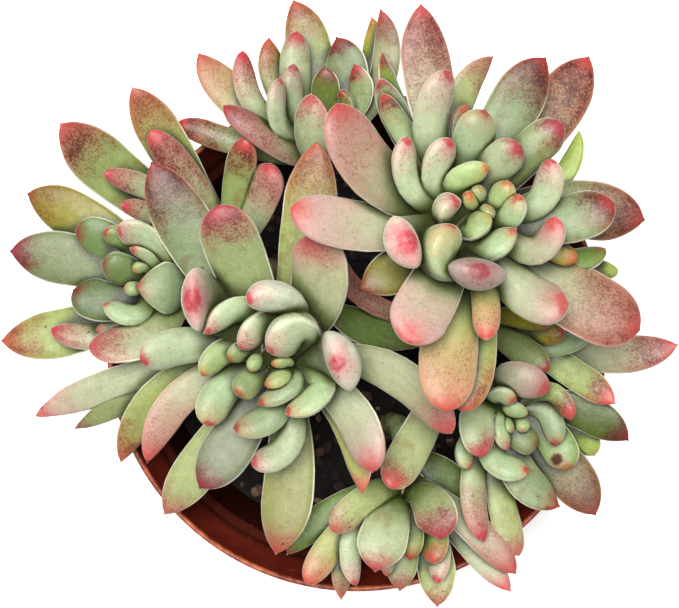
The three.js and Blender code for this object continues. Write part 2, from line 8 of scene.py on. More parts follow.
import logging
import math
from collections.abc import Iterator, Sequence
from contextlib import contextmanager
from dataclasses import dataclass
from enum import Enum
from functools import cached_property

import bpy
import numpy as np
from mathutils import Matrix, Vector, noise
from mathutils.bvhtree import BVHTree


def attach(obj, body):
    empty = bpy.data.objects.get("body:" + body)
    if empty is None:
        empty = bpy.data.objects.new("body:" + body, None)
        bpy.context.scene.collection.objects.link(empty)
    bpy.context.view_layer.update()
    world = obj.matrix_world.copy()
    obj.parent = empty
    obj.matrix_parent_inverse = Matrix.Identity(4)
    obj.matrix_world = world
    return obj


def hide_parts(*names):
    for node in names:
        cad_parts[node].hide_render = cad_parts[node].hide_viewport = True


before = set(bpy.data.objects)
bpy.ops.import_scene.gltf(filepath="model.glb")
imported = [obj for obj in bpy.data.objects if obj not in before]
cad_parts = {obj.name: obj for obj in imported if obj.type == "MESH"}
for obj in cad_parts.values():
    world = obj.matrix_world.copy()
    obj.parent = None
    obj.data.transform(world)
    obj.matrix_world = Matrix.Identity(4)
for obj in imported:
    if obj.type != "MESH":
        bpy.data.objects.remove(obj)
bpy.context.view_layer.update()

LOG = logging.getLogger("potted_echeveria")

MILLIMETRE = 0.001
BODY = "root"
SEED = 11

NO_SCAR = (-999.0, -999.0, 1.0)
SOIL_TOP = 73.0
SOIL_RELIEF = 1.3
LEAF_SHARE = 0.45
# The pale margin with its painted highlight, and the painted sheen, give back this share of light.
RIM_SHARE = 0.8
TONE_POWER = 2.2
WARMTH = np.array([1.015, 1.0, 0.94])
UP = np.array([0.0, 0.0, 1.0])

Paint = tuple[int, int, int]
Colour = tuple[float, float, float, float]
Pair = tuple[float, float]


def linear(paint: Paint, share: float = 1.0) -> Colour:
    """Turn a colour as it is seen into the linear colour of a surface.

    Args:
        paint: Red, green and blue as seen, from 0 to 255.
        share: How much of the light the surface gives back of what it seems to.

    Returns:
        Linear red, green and blue, and an alpha of 1.
    """
    seen = [part / 255 for part in paint]
    curve = [v / 12.92 if v <= 0.04045 else ((v + 0.055) / 1.055) ** 2.4 for v in seen]
    return (curve[0] * share, curve[1] * share, curve[2] * share, 1.0)


def unit(vector: np.ndarray) -> np.ndarray:
    """Give a vector, or each row of vectors, a length of one."""
    return vector / np.linalg.norm(vector, axis=-1, keepdims=True)


def deselect_all() -> None:
    """Deselect every object."""
    bpy.ops.object.select_all(action="DESELECT")


def select_only(*pieces: bpy.types.Object) -> None:
    """Select these pieces alone and make the first one active."""
    deselect_all()
    for piece in pieces:
        piece.select_set(True)
    bpy.context.view_layer.objects.active = pieces[0]


@contextmanager
def editing(piece: bpy.types.Object, mode: str = "VERT") -> Iterator[None]:
    """Hold one piece in edit mode.

    Args:
        piece: The piece to edit.
        mode: What is selected while it is edited: VERT, EDGE or FACE.

    Yields:
        Nothing; edit mode ends with the block.
    """
    select_only(piece)
    bpy.ops.object.mode_set(mode="EDIT")
    bpy.ops.mesh.select_mode(type=mode)
    try:
        yield
    finally:
        bpy.ops.object.mode_set(mode="OBJECT")


def join(name: str, pieces: Sequence[bpy.types.Object]) -> bpy.types.Object:
    """Join pieces into one that carries the given name.

    Args:
        name: The name of the joined piece and its mesh.
        pieces: What to join. The first one's materials come first.

    Returns:
        The joined piece, with its place in its mesh.
    """
    select_only(*pieces)
    if len(pieces) > 1:
        bpy.ops.object.join()
    whole = bpy.context.view_layer.objects.active
    whole.name = name
    whole.data.name = name
    bpy.ops.object.transform_apply(location=True, rotation=True, scale=True)
    return whole


def copy_of(model: bpy.types.Object) -> bpy.types.Object:
    """Copy a piece with a mesh of its own."""
    twin = model.copy()
    twin.data = model.data.copy()
    bpy.context.scene.collection.objects.link(twin)
    return twin


def points_of(piece: bpy.types.Object) -> np.ndarray:
    """Read a piece's vertices as an array of points."""
    flat = np.empty(len(piece.data.vertices) * 3)
    piece.data.vertices.foreach_get("co", flat)
    return flat.reshape(-1, 3)


def place_points(piece: bpy.types.Object, points: np.ndarray) -> None:
    """Give a piece's vertices new places, in metres."""
    piece.data.vertices.foreach_set("co", points.astype(np.float32).ravel())
    piece.data.update()


def note_values(piece: bpy.types.Object, name: str, values: np.ndarray) -> None:
    """Keep a number, a vector or a colour for each vertex, for the materials to read.

    Args:
        piece: The piece that keeps them.
        name: The name that the material asks for.
        values: One, three or four numbers for each vertex, or three or four for all of them.
    """
    count = len(piece.data.vertices)
    values = values if len(values) == count else np.tile(values, (count, 1))
    kinds = {1: ("FLOAT", "value"), 3: ("FLOAT_VECTOR", "vector"), 4: ("FLOAT_COLOR", "color")}
    kind, key = kinds[values.size // count]
    kept = piece.data.attributes.new(name, kind, "POINT")
    kept.data.foreach_set(key, values.astype(np.float32).ravel())


def dress(piece: bpy.types.Object, slot: str, *nodes: str) -> None:
    """Tie a finished piece to the part.

    Args:
        piece: The finished piece.
        slot: The material slot of the record that its finish belongs to; not used.
        nodes: The solids that it stands for.
    """
    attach(piece, BODY)
    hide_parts(*nodes)
    LOG.info("%s: %d faces in place of %s", piece.name, len(piece.data.polygons), ", ".join(nodes))


class Signal:
    """What a shader node gives at each point of a surface: a number, a vector or a colour."""

    def __init__(self, sketch: "Finish", socket: bpy.types.NodeSocket) -> None:
        """Keep one output of a node of the finish."""
        self.sketch = sketch
        self.socket = socket

    def __add__(self, other: "Signal | float") -> "Signal":
        """Add."""
        return self.sketch.maths("ADD", self, other)

    def __sub__(self, other: "Signal | float") -> "Signal":
        """Take something away."""
        return self.sketch.maths("SUBTRACT", self, other)

    def __rsub__(self, other: float) -> "Signal":
        """Take this away from a plain number."""
        return self.sketch.maths("SUBTRACT", other, self)

    def __mul__(self, other: "Signal | float") -> "Signal":
        """Multiply."""
        return self.sketch.maths("MULTIPLY", self, other)

    def __truediv__(self, other: "Signal | float") -> "Signal":
        """Divide."""
        return self.sketch.maths("DIVIDE", self, other)

    def __pow__(self, power: float) -> "Signal":
        """Raise to a power."""
        return self.sketch.maths("POWER", self, power)

    def __abs__(self) -> "Signal":
        """Leave out the sign."""
        return self.sketch.maths("ABSOLUTE", self)

    def ease(self, start: float, end: float) -> "Signal":
        """Rise smoothly from 0 where this is at the start to 1 where it is at the end.

        Args:
            start: Where the result is 0.
            end: Where the result is 1. It may be lower than the start.

        Returns:
            A number from 0 to 1.
        """
        low, high = sorted((start, end))
        first, last = (0.0, 1.0) if start < end else (1.0, 0.0)
        inputs = {"Value": self, "From Min": low, "From Max": high, "To Min": first, "To Max": last}
        return self.sketch.add("MapRange", "Result", inputs, interpolation_type="SMOOTHSTEP", clamp=True)

    def coat(self, over: "Signal | Colour", share: "Signal | float", mode: str = "MIX") -> "Signal":
        """Lay a colour over this one."""
        return self.sketch.blend(self, over, share, mode)


class Finish:
    """A material, laid out as shader nodes in short calls. Each finish of the part extends it."""

    title = "finish"

    def __init__(self) -> None:
        """Start the material under the finish's title."""
        self.skin = bpy.data.materials.new(self.title)
        self.skin.use_nodes = True
        self.tree = self.skin.node_tree
        self.shader = self.tree.nodes["Principled BSDF"]

    def feed(self, socket: bpy.types.NodeSocket, value: object) -> None:
        """Link a signal to a socket, or set the socket to a plain value."""
        if isinstance(value, Signal):
            self.tree.links.new(value.socket, socket)
        else:
            socket.default_value = value

    def add(
        self, kind: str, output: int | str, inputs: dict[int | str, object], **settings: object
    ) -> Signal:
        """Add a node.

        Args:
            kind: The node's type name after "ShaderNode".
            output: The output that is wanted, by number or name.
            inputs: What goes into its sockets, by number or name.
            settings: Properties of the node by name.

        Returns:
            The wanted output.
        """
        node = self.tree.nodes.new("ShaderNode" + kind)
        for key, value in settings.items():
            setattr(node, key, value)
        for key, value in inputs.items():
            self.feed(node.inputs[key], value)
        return Signal(self, node.outputs[output])

    @cached_property
    def place(self) -> Signal:
        """The point on the piece, in metres."""
        return self.add("TexCoord", "Object", {})

    @cached_property
    def facing(self) -> Signal:
        """How far the surface turns away from the eye, from 0 to 1."""
        return self.add("LayerWeight", "Facing", {"Blend": 0.5})

    def kept(self, name: str, output: str = "Fac") -> Signal:
        """Read what each vertex keeps under a name, as Fac, Vector or Color."""
        return self.add("Attribute", output, {}, attribute_name=name)

    def parts(self, vector: Signal) -> tuple[Signal, ...]:
        """Split a vector into its three numbers."""
        node = self.add("SeparateXYZ", 0, {0: vector}).socket.node
        return tuple(Signal(self, output) for output in node.outputs)

    def together(self, *numbers: Signal | float) -> Signal:
        """Make a vector of three numbers."""
        return self.add("CombineXYZ", 0, dict(enumerate(numbers)))

    def maths(self, operation: str, *numbers: Signal | float) -> Signal:
        """Work out one operation of the Math node."""
        return self.add("Math", 0, dict(enumerate(numbers)), operation=operation)

    def cloud(self, scale: float, detail: float, rough: float = 0.5, where: Signal | None = None) -> Signal:
        """Draw a cloudy noise of about 0 to 1.

        Args:
            scale: Waves per metre of the largest blots.
            detail: How many finer layers lie on it.
            rough: How strong the finer layers are.
            where: The point it is read at, or none for the point on the piece.

        Returns:
            The noise value.
        """
        inputs = {"Vector": where or self.place, "Scale": scale, "Detail": detail, "Roughness": rough}
        return self.add("TexNoise", "Fac", inputs)

    def specks(self, scale: float, size: float) -> Signal:
        """Scatter round specks, one at most in each cell.

        Args:
            scale: Cells per metre.
            size: The speck's radius as a share of a cell.

        Returns:
            1 in a speck and 0 outside.
        """
        distance = self.add("TexVoronoi", "Distance", {"Vector": self.place, "Scale": scale}, feature="F1")
        return distance.ease(size, size * 0.5)

    def blend(
        self, base: Signal | Colour, over: Signal | Colour, share: Signal | float, mode: str = "MIX"
    ) -> Signal:
        """Lay one colour over another.

        Args:
            base: The lower colour.
            over: The upper colour.
            share: How much of the upper colour shows, from 0 to 1.
            mode: The Mix node's blend type.

        Returns:
            The mixed colour.
        """
        inputs = {"Factor": share, 6: base, 7: over}
        return self.add("Mix", 2, inputs, data_type="RGBA", blend_type=mode, clamp_factor=True)

    def greys(self, dark: float, light: float, share: Signal) -> Signal:
        """Blend two greys."""
        return self.blend((dark, dark, dark, 1.0), (light, light, light, 1.0), share)

    def relief(self, height: Signal, strength: float, depth: float) -> None:
        """Give the surface a bump.

        Args:
            height: The bump's height from 0 to 1.
            strength: How strongly it shows.
            depth: The height of 1, in metres.
        """
        bump = self.add("Bump", 0, {"Strength": strength, "Distance": depth, "Height": height})
        self.feed(self.shader.inputs["Normal"], bump)

    def done(self, **inputs: object) -> bpy.types.Material:
        """Set the shader's own inputs and hand the material over.

        Args:
            inputs: Sockets of the shader by name, with _ for a space.

        Returns:
            The material.
        """
        for key, value in inputs.items():
            self.feed(self.shader.inputs[key.replace("_", " ")], value)
        return self.skin


@dataclass(frozen=True)
class LeafLook:
    """The colouring of one kind of leaf, in colours as they are seen.

    "blush" covers "reach" mm from the tip at the given strength, and "tip" colours a dab of
    "point" mm. "mottle" is how freckled the blush is, in the colour of "patch".
    """

    body: Paint
    blush: Paint
    tip: Paint
    reach: float
    point: float
    mottle: float = 0.1
    strength: float = 0.8
    patch: Paint = (134, 58, 46)


class Look(Enum):
    """The colourings that the clump's leaves have."""

    SAGE = LeafLook((172, 198, 142), (194, 200, 134), (200, 146, 88), 3, 1.2, 0.1, 0.6)
    AMBER = LeafLook((176, 200, 136), (208, 198, 116), (204, 104, 64), 4, 1.8, 0.15)
    EMBER = LeafLook((184, 210, 162), (222, 204, 154), (198, 54, 56), 5, 2.4, 0.2)
    ROSE = LeafLook((198, 216, 176), (240, 198, 190), (198, 36, 54), 9, 2.6, 0.3, patch=(136, 34, 38))
    PETAL = LeafLook((200, 208, 172), (238, 190, 190), (226, 80, 80), 17, 4.6, 0.16, patch=(158, 58, 50))
    CHERRY = LeafLook((220, 228, 206), (242, 206, 202), (204, 46, 66), 7, 2.8, 0.3, 0.95)
    PEARL = LeafLook((232, 224, 210), (236, 178, 176), (192, 44, 66), 8, 3.8, 0.25, 0.95, (130, 28, 44))
    BERRY = LeafLook((190, 204, 160), (222, 146, 140), (206, 44, 68), 18, 3.8, 0.6, 0.95, (140, 34, 46))
    MAUVE = LeafLook((184, 194, 140), (212, 128, 116), (212, 70, 70), 24, 4.4, 0.6, 0.95, (126, 40, 32))
    FRECKLED = LeafLook((166, 186, 114), (206, 124, 102), (210, 60, 66), 17, 4.4, 1.0, 0.95, (98, 26, 18))
    DUSTED = LeafLook((196, 198, 154), (210, 136, 128), (218, 74, 76), 24, 4.6, 0.9, 0.95, (124, 38, 32))
    TAN = LeafLook((176, 190, 110), (214, 138, 94), (208, 84, 70), 16, 3.8, 0.75, 0.88, (128, 50, 26))
    PEACH = LeafLook((192, 196, 118), (232, 170, 138), (224, 82, 72), 22, 4.0, 0.35, 0.9, (156, 66, 40))
    RUSTY = LeafLook((166, 188, 134), (198, 100, 84), (206, 48, 56), 8, 3.8, 1.0, 0.95, (92, 24, 18))
    JADE = LeafLook((146, 178, 106), (186, 170, 106), (188, 42, 48), 5, 2.4, 0.4, 0.8)
    MOSS = LeafLook((136, 164, 58), (188, 100, 66), (192, 46, 46), 9, 3.4, 0.85, 0.9, (104, 38, 22))
    MEADOW = LeafLook((168, 190, 116), (212, 150, 108), (200, 66, 58), 6, 2.6, 0.4, 0.9, (140, 56, 32))
    OLIVE = LeafLook((188, 180, 34), (200, 146, 74), (202, 84, 58), 8, 2.4, 0.4, 0.7, (124, 56, 30))
    CORAL = LeafLook((196, 200, 160), (228, 164, 156), (222, 72, 74), 20, 5.0, 0.3, 0.9, (150, 50, 48))
    WINE = LeafLook((178, 196, 136), (220, 122, 126), (204, 52, 78), 9, 4.4, 0.9, 0.95, (136, 30, 40))
    HEATH = LeafLook((182, 196, 132), (206, 152, 128), (206, 98, 90), 9, 2.6, 0.5, 0.9, (126, 52, 38))
    LIME = LeafLook((172, 196, 92), (194, 202, 112), (204, 176, 96), 3, 1.2, 0.2, 0.5)
    DEEP = LeafLook((120, 150, 66), (148, 140, 76), (178, 50, 46), 6, 2.2, 0.4, 0.7)


(
    SAGE, AMBER, EMBER, ROSE, PETAL, CHERRY, PEARL, BERRY, MAUVE, FRECKLED, DUSTED, TAN,
    PEACH, RUSTY, JADE, MOSS, MEADOW, OLIVE, CORAL, WINE, HEATH, LIME, DEEP,
) = Look


@dataclass(frozen=True)
class FormSize:
    """How a kind of leaf is shaped, in shares of its length, width or thickness unless in mm.

    The leaf is "root" wide where it starts and widest at "widest". "turn" is how far it curls up.
    It is "thinnest" mm thick and "by_width" of its width more, "face" of that above its middle
    plane and "back" below. "blunt" and "close" round off its end, "point" is its sharp end in mm,
    "dish" hollows its face, and "margin" is how pale its edge is.
    """

    root: float
    turn: float
    thinnest: float
    by_width: float
    face: float
    back: float
    widest: float
    blunt: float
    close: float
    point: float
    dish: float
    margin: float


class Form(Enum):
    """The shapes that the clump's leaves have."""

    SPOON = FormSize(0.46, 0.2, 1.1, 0.125, 0.85, 1.25, 0.7, 2.3, 0.76, 0.5, 0.4, 1.0)
    PADDLE = FormSize(0.46, 0.2, 1.2, 0.15, 0.8, 1.3, 0.74, 2.8, 0.56, 0.3, 0.3, 0.9)
    LONG = FormSize(0.62, 0.1, 1.0, 0.12, 0.85, 1.25, 0.7, 2.2, 0.74, 0.5, 0.4, 1.0)
    FAN = FormSize(0.5, 0.2, 1.0, 0.12, 0.85, 1.25, 0.6, 1.5, 0.8, 0.6, 0.35, 0.9)
    CLUB = FormSize(0.66, 0.45, 0.7, 0.24, 0.85, 1.3, 0.74, 2.8, 0.6, 0.3, 0.1, 0.35)
    HOOK = FormSize(0.6, 0.7, 0.7, 0.25, 0.8, 1.4, 0.76, 2.8, 0.56, 0.2, 0.05, 0.1)
    PAD = FormSize(0.5, 0.93, 0.7, 0.25, 0.8, 1.3, 0.84, 2.8, 0.52, 0.15, 0.0, 0.0)
    BUD = FormSize(0.75, 0.55, 0.7, 0.28, 0.85, 1.2, 0.7, 2.6, 0.56, 0.2, 0.0, 0.1)


SPOON, PADDLE, LONG, FAN, CLUB, HOOK, PAD, BUD = Form


@dataclass(frozen=True)
class Leaf:
    """One leaf as it is seen from above.

    Tip and root are picture points, the root where it goes out of sight, and width is in mm.
    "over" is the tip's height over the rim in mm. Without it the tip lies on the bowl that the
    head's leaves form, moved by "lift". "reach" stretches the blush. "twist" turns the face round
    the leaf, in degrees. "plump" thickens the leaf, "tone" makes its skin lighter or darker, partly
    its own tone and partly painted light and shade for how lit the leaf lies, and "scar" is the
    picture point of a round scar and its radius in mm.
    """

    tip: Pair
    root: Pair
    width: float
    form: Form
    look: Look
    lift: float = 0.0
    over: float | None = None
    reach: float = 1.0
    twist: float = 0.0
    plump: float = 1.0
    tone: float = 1.0
    scar: tuple[float, float, float] = NO_SCAR


@dataclass(frozen=True)
class RosettePlan:
    """One leafy head: its growing point, the way it leans, where it roots, and its leaves.

    "light" is how far its leaves' faces turn from its axis to straight up.
    """

    name: str
    node: str
    leaves: tuple[Leaf, ...]
    apex: tuple[float, float, float]
    lean: float
    toward: float
    foot: Pair
    light: float = 0.6


TALL_LEAVES = (
    Leaf((481, 187), (478, 200), 4.6, BUD, SAGE),
    Leaf((467, 193), (476, 205), 4.8, BUD, AMBER),
    Leaf((491, 207), (484, 214), 5, BUD, SAGE),
    Leaf((490, 213), (468, 230), 8, CLUB, AMBER),
    Leaf((507, 181), (493, 206), 6.8, CLUB, AMBER),
    Leaf((519, 195), (502, 218), 8, CLUB, EMBER, lift=1),
    Leaf((489, 168), (456, 188), 7.6, CLUB, AMBER, lift=1, tone=1.09),
    Leaf((457, 200), (447, 212), 9, HOOK, ROSE, lift=3, reach=0.7, tone=1.06),
    Leaf((451, 224), (443, 258), 14, HOOK, EMBER, lift=4, reach=2.1, plump=1.1, tone=1.05),
    Leaf((516, 229), (476, 250), 8.8, CLUB, EMBER, lift=2),
    Leaf((521, 146), (486, 182), 10, CLUB, BERRY, reach=0.3, tone=0.92),
    Leaf((485, 110), (470, 162), 11.2, CLUB, EMBER, reach=1.6, tone=0.91),
    Leaf((563, 124), (525, 155), 10.6, CLUB, WINE, reach=0.75, tone=0.89),
    Leaf((550, 159), (542, 200), 8, HOOK, ROSE, lift=1, reach=0.95, tone=1.03),
    Leaf((556, 217), (537, 250), 8.4, HOOK, PETAL, lift=2, reach=0.7),
    Leaf((407, 240), (425, 235), 14.4, PAD, PEARL, lift=9, tone=1.14),
    Leaf((481, 270), (478, 250), 15.4, PAD, CHERRY, lift=9, reach=1.3, plump=0.85, tone=0.8),
    Leaf((568, 304), (525, 293), 12.6, HOOK, PETAL, reach=0.7, tone=0.95),
    Leaf((451, 139), (438, 182), 8.8, HOOK, ROSE, lift=2, tone=1.05),
    Leaf((407, 137), (414, 190), 7.8, HOOK, ROSE, lift=2, reach=1.1, tone=1.06),
    Leaf((450, 71), (430, 130), 9.9, HOOK, ROSE, reach=1.5, tone=0.97),
    Leaf((486, 340), (485, 294), 7.4, CLUB, PEACH, lift=-2, reach=0.6),
    Leaf((336, 104), (405, 195), 15.4, PADDLE, CORAL, lift=4, reach=1.4, tone=0.93),
    Leaf((291, 209), (415, 226), 13.6, PADDLE, PETAL, reach=1.5, tone=0.99),
    Leaf((405, 341), (445, 270), 15.6, PADDLE, PETAL, lift=4, reach=1.3),
    Leaf((446, 411), (455, 300), 15.6, PADDLE, PEACH, lift=-1),
    Leaf((462, 411), (475, 320), 13, PADDLE, TAN, lift=-7),
    Leaf((421, 5), (436, 118), 13.8, SPOON, DUSTED, lift=-4, reach=1.1, tone=0.97),
    Leaf((493, 57), (458, 106), 8.4, SPOON, HEATH, lift=-9, reach=1.4),
    Leaf((468, 105), (458, 132), 4.8, SPOON, TAN, lift=-11),
    Leaf((545, 58), (497, 140), 14.6, SPOON, RUSTY, lift=-3, reach=1.9, tone=0.85),
    Leaf((588, 57), (547, 122), 15, SPOON, FRECKLED, lift=-9, reach=2.0, tone=0.97),
    Leaf((579, 131), (560, 180), 6, SPOON, LIME, lift=-12),
    Leaf((614, 203), (548, 222), 13, PADDLE, RUSTY, reach=1.15, tone=0.88),
    Leaf((644, 220), (560, 208), 16, SPOON, FRECKLED, lift=-7, reach=1.2, tone=0.83),
    Leaf((639, 330), (530, 267), 18.6, PADDLE, MAUVE, lift=-5, reach=1.1, tone=0.94),
    Leaf((605, 248), (560, 262), 7.6, PADDLE, DEEP, lift=-14, reach=0.1),
    Leaf((618, 270), (575, 264), 6, PADDLE, LIME, lift=-16),
    Leaf((576, 262), (552, 248), 6, SPOON, OLIVE, lift=-10),
    Leaf((362, 288), (415, 258), 12, SPOON, OLIVE, lift=-13, tone=0.72),
    Leaf((383, 52), (405, 130), 6.6, SPOON, MOSS, over=18),
    Leaf((381, 79), (410, 145), 8.6, CLUB, RUSTY, over=26),
    Leaf((383, 94), (415, 152), 6.8, CLUB, RUSTY, over=31),
)

WIDE_LEAVES = (
    Leaf((251, 371), (260, 360), 4.6, BUD, SAGE),
    Leaf((271, 364), (288, 360), 4.4, BUD, AMBER),
    Leaf((265, 385), (284, 373), 5.4, BUD, AMBER),
    Leaf((228, 360), (256, 350), 6.2, CLUB, AMBER, tone=0.85),
    Leaf((237, 395), (258, 375), 7.6, CLUB, AMBER, tone=0.84),
    Leaf((240, 349), (271, 323), 9.8, CLUB, ROSE, lift=1.5, reach=0.85, tone=1.01),
    Leaf((258, 404), (296, 375), 6.6, CLUB, EMBER, lift=1, reach=1.5, tone=0.87),
    Leaf((268, 351), (300, 330), 13.4, CLUB, ROSE, lift=5, reach=0.85, plump=1.2, tone=1.01),
    Leaf((202, 376), (228, 350), 7.6, CLUB, AMBER),
    Leaf((204, 333), (246, 309), 8, CLUB, ROSE, lift=3, reach=0.8, tone=1.05),
    Leaf((207, 426), (224, 388), 9.8, CLUB, EMBER, reach=1.5, tone=0.97),
    Leaf((234, 428), (276, 410), 8.8, CLUB, EMBER, reach=1.5, tone=0.87),
    Leaf((286, 414), (322, 384), 9, CLUB, EMBER, lift=2, reach=1.5, tone=1.03),
    Leaf((192, 300), (214, 308), 17, PAD, PEARL, lift=10, twist=-45, plump=0.66, tone=1.05),
    Leaf((247, 299), (290, 306), 10, HOOK, CHERRY, lift=10, plump=1.25, tone=1.06),
    Leaf((338, 364), (322, 352), 17, PAD, CHERRY, lift=9, twist=-15, plump=0.9),
    Leaf((141, 361), (186, 346), 10.8, HOOK, ROSE, lift=2, reach=0.5, tone=0.97),
    Leaf((152, 163), (225, 290), 16.2, SPOON, RUSTY, reach=2.4, tone=0.82),
    Leaf((217, 206), (255, 310), 16.2, PADDLE, WINE, lift=5, reach=1.3, tone=0.93, scar=(262, 272, 0.6)),
    Leaf((313, 233), (308, 320), 16.4, PADDLE, CORAL, lift=5, reach=0.65, tone=1.02),
    Leaf((451, 433), (398, 374), 11.8, PADDLE, CORAL, reach=0.7, tone=0.97),
    Leaf((372, 472), (352, 410), 11.6, PADDLE, PETAL, lift=1, reach=0.9, tone=0.95),
    Leaf((362, 493), (345, 420), 8.6, SPOON, PEACH, lift=-7, reach=0.4),
    Leaf((276, 553), (290, 470), 15, SPOON, PEACH, lift=-4, reach=0.5, tone=0.84),
    Leaf((251, 463), (288, 444), 8.6, HOOK, ROSE, reach=0.8, tone=0.97),
    Leaf((200, 488), (240, 430), 14.4, SPOON, BERRY, lift=-2, reach=0.45, tone=0.71),
    Leaf((165, 514), (225, 430), 13, SPOON, HEATH, lift=-9, reach=1.1, tone=0.99),
    Leaf((147, 462), (180, 398), 10, LONG, CORAL, lift=-4, reach=1.3, tone=0.98),
    Leaf((121, 461), (168, 388), 11, SPOON, TAN, lift=-11, reach=0.8, tone=0.97),
    Leaf((36, 416), (150, 374), 10, LONG, PETAL, lift=-4, reach=1.1),
    Leaf((75, 429), (150, 392), 7, SPOON, HEATH, lift=-10, reach=0.8, tone=0.84),
    Leaf((317, 143), (303, 250), 15, SPOON, TAN, lift=-5, reach=1.2),
)

LEFT_LEAVES = (
    Leaf((124, 288), (136, 288), 4.6, BUD, SAGE, over=21),
    Leaf((133, 272), (146, 268), 5, BUD, SAGE, over=20),
    Leaf((102, 264), (132, 275), 9.6, CLUB, JADE, over=20, tone=0.8),
    Leaf((104, 304), (150, 310), 6.8, CLUB, EMBER, over=20),
    Leaf((136, 286), (180, 288), 15, FAN, EMBER, over=24, reach=1.3, plump=0.75, tone=0.87),
    Leaf((117, 229), (160, 252), 10.4, CLUB, ROSE, over=26, reach=0.8, plump=0.8, tone=1.02),
    Leaf((103, 232), (128, 243), 6.6, CLUB, JADE, over=20),
    Leaf((130, 248), (156, 266), 4.6, CLUB, EMBER, over=23),
    Leaf((76, 231), (125, 250), 11.4, PADDLE, JADE, over=14, tone=0.83),
    Leaf((74, 290), (128, 300), 12.4, PADDLE, JADE, over=14, tone=0.69),
    Leaf((89, 345), (180, 322), 12.4, PADDLE, BERRY, over=21, reach=0.8),
    Leaf((96, 330), (120, 322), 5.4, CLUB, ROSE, over=14),
    Leaf((51, 329), (110, 333), 8, CLUB, BERRY, over=12, reach=0.7),
    Leaf((11, 251), (115, 270), 15.6, SPOON, WINE, over=10, tone=0.75),
    Leaf((28, 194), (98, 230), 14.6, SPOON, OLIVE, over=7, reach=1.8, tone=0.83),
    Leaf((2, 341), (90, 324), 14.6, SPOON, TAN, over=6, reach=0.8),
    Leaf((80, 298), (118, 285), 9, SPOON, OLIVE, over=5),
)

INNER_LEAVES = (
    Leaf((218, 244), (224, 236), 5, BUD, SAGE, over=15),
    Leaf((232, 250), (226, 238), 5, BUD, SAGE, over=15),
    Leaf((133, 88), (170, 150), 13, SPOON, TAN, over=17, reach=1.2),
    Leaf((150, 131), (195, 190), 9.6, CLUB, DUSTED, over=16),
    Leaf((61, 124), (118, 176), 16.4, SPOON, FRECKLED, over=21),
    Leaf((104, 173), (160, 193), 7, CLUB, BERRY, over=18, reach=0.7),
    Leaf((121, 205), (160, 215), 6, CLUB, BERRY, over=16, reach=0.4),
    Leaf((247, 138), (230, 200), 9.4, CLUB, FRECKLED, over=20, reach=0.7),
    Leaf((272, 165), (248, 215), 11.4, CLUB, BERRY, over=18, reach=0.9),
)

TOP_LEAVES = (
    Leaf((325, 68), (325, 100), 8.4, SPOON, MOSS, over=17, reach=0.45, tone=0.77),
    Leaf((354, 65), (360, 98), 7.8, SPOON, RUSTY, over=15, reach=0.45, tone=0.95),
    Leaf((294, 64), (300, 120), 6.6, CLUB, ROSE, over=18, tone=0.9),
    Leaf((280, 78), (290, 140), 6.4, CLUB, ROSE, over=23, tone=0.95),
    Leaf((311, 94), (316, 160), 11.4, PADDLE, BERRY, over=28, reach=0.5),
    Leaf((340, 90), (346, 112), 5, CLUB, DEEP, over=20),
    Leaf((297, 32), (302, 105), 9.4, CLUB, BERRY, over=11, reach=0.4, tone=0.98),
    Leaf((337, 38), (345, 100), 13, SPOON, RUSTY, over=9, reach=0.7, tone=0.79),
    Leaf((294, 1), (318, 85), 13.4, SPOON, TAN, over=6, reach=0.8, tone=0.94),
    Leaf((269, 38), (285, 105), 8.4, SPOON, TAN, over=7),
    Leaf((243, 51), (268, 125), 7.4, CLUB, BERRY, over=14, reach=0.85, tone=1.02),
    Leaf((199, 54), (262, 125), 11.4, SPOON, PEACH, over=7, tone=0.95),
    Leaf((224, 106), (300, 155), 8.8, CLUB, BERRY, over=22, reach=1.6, tone=0.88),
    Leaf((178, 122), (235, 142), 7.8, CLUB, RUSTY, over=6, reach=2),
    Leaf((381, 10), (380, 90), 8.6, SPOON, DUSTED, over=9, reach=0.45, tone=0.89),
    Leaf((372, 18), (368, 90), 8.4, SPOON, OLIVE, over=5, tone=1.12),
)

UNDER_LEAVES = (
    Leaf((478, 318), (484, 326), 5, BUD, SAGE, over=19),
    Leaf((488, 330), (482, 322), 5, BUD, SAGE, over=19),
    Leaf((548, 370), (500, 334), 8.6, CLUB, MEADOW, over=20, reach=0.6, tone=0.8),
    Leaf((565, 334), (510, 327), 7.6, CLUB, OLIVE, over=18),
    Leaf((553, 322), (510, 318), 6.6, CLUB, OLIVE, over=22),
    Leaf((592, 337), (535, 345), 6.6, SPOON, SAGE, over=12),
    Leaf((677, 345), (600, 354), 11.4, SPOON, DUSTED, over=12, reach=0.75),
    Leaf((614, 403), (570, 371), 9, LONG, FRECKLED, over=17, reach=0.6, tone=1.08),
    Leaf((388, 486), (418, 435), 11.4, PADDLE, MAUVE, over=21.5, reach=0.35, tone=1.04),
    Leaf((325, 305), (395, 335), 10.4, SPOON, DEEP, over=15, tone=0.85),
    Leaf((330, 236), (362, 296), 6.4, LONG, BERRY, over=23, reach=3, tone=1.05),
)

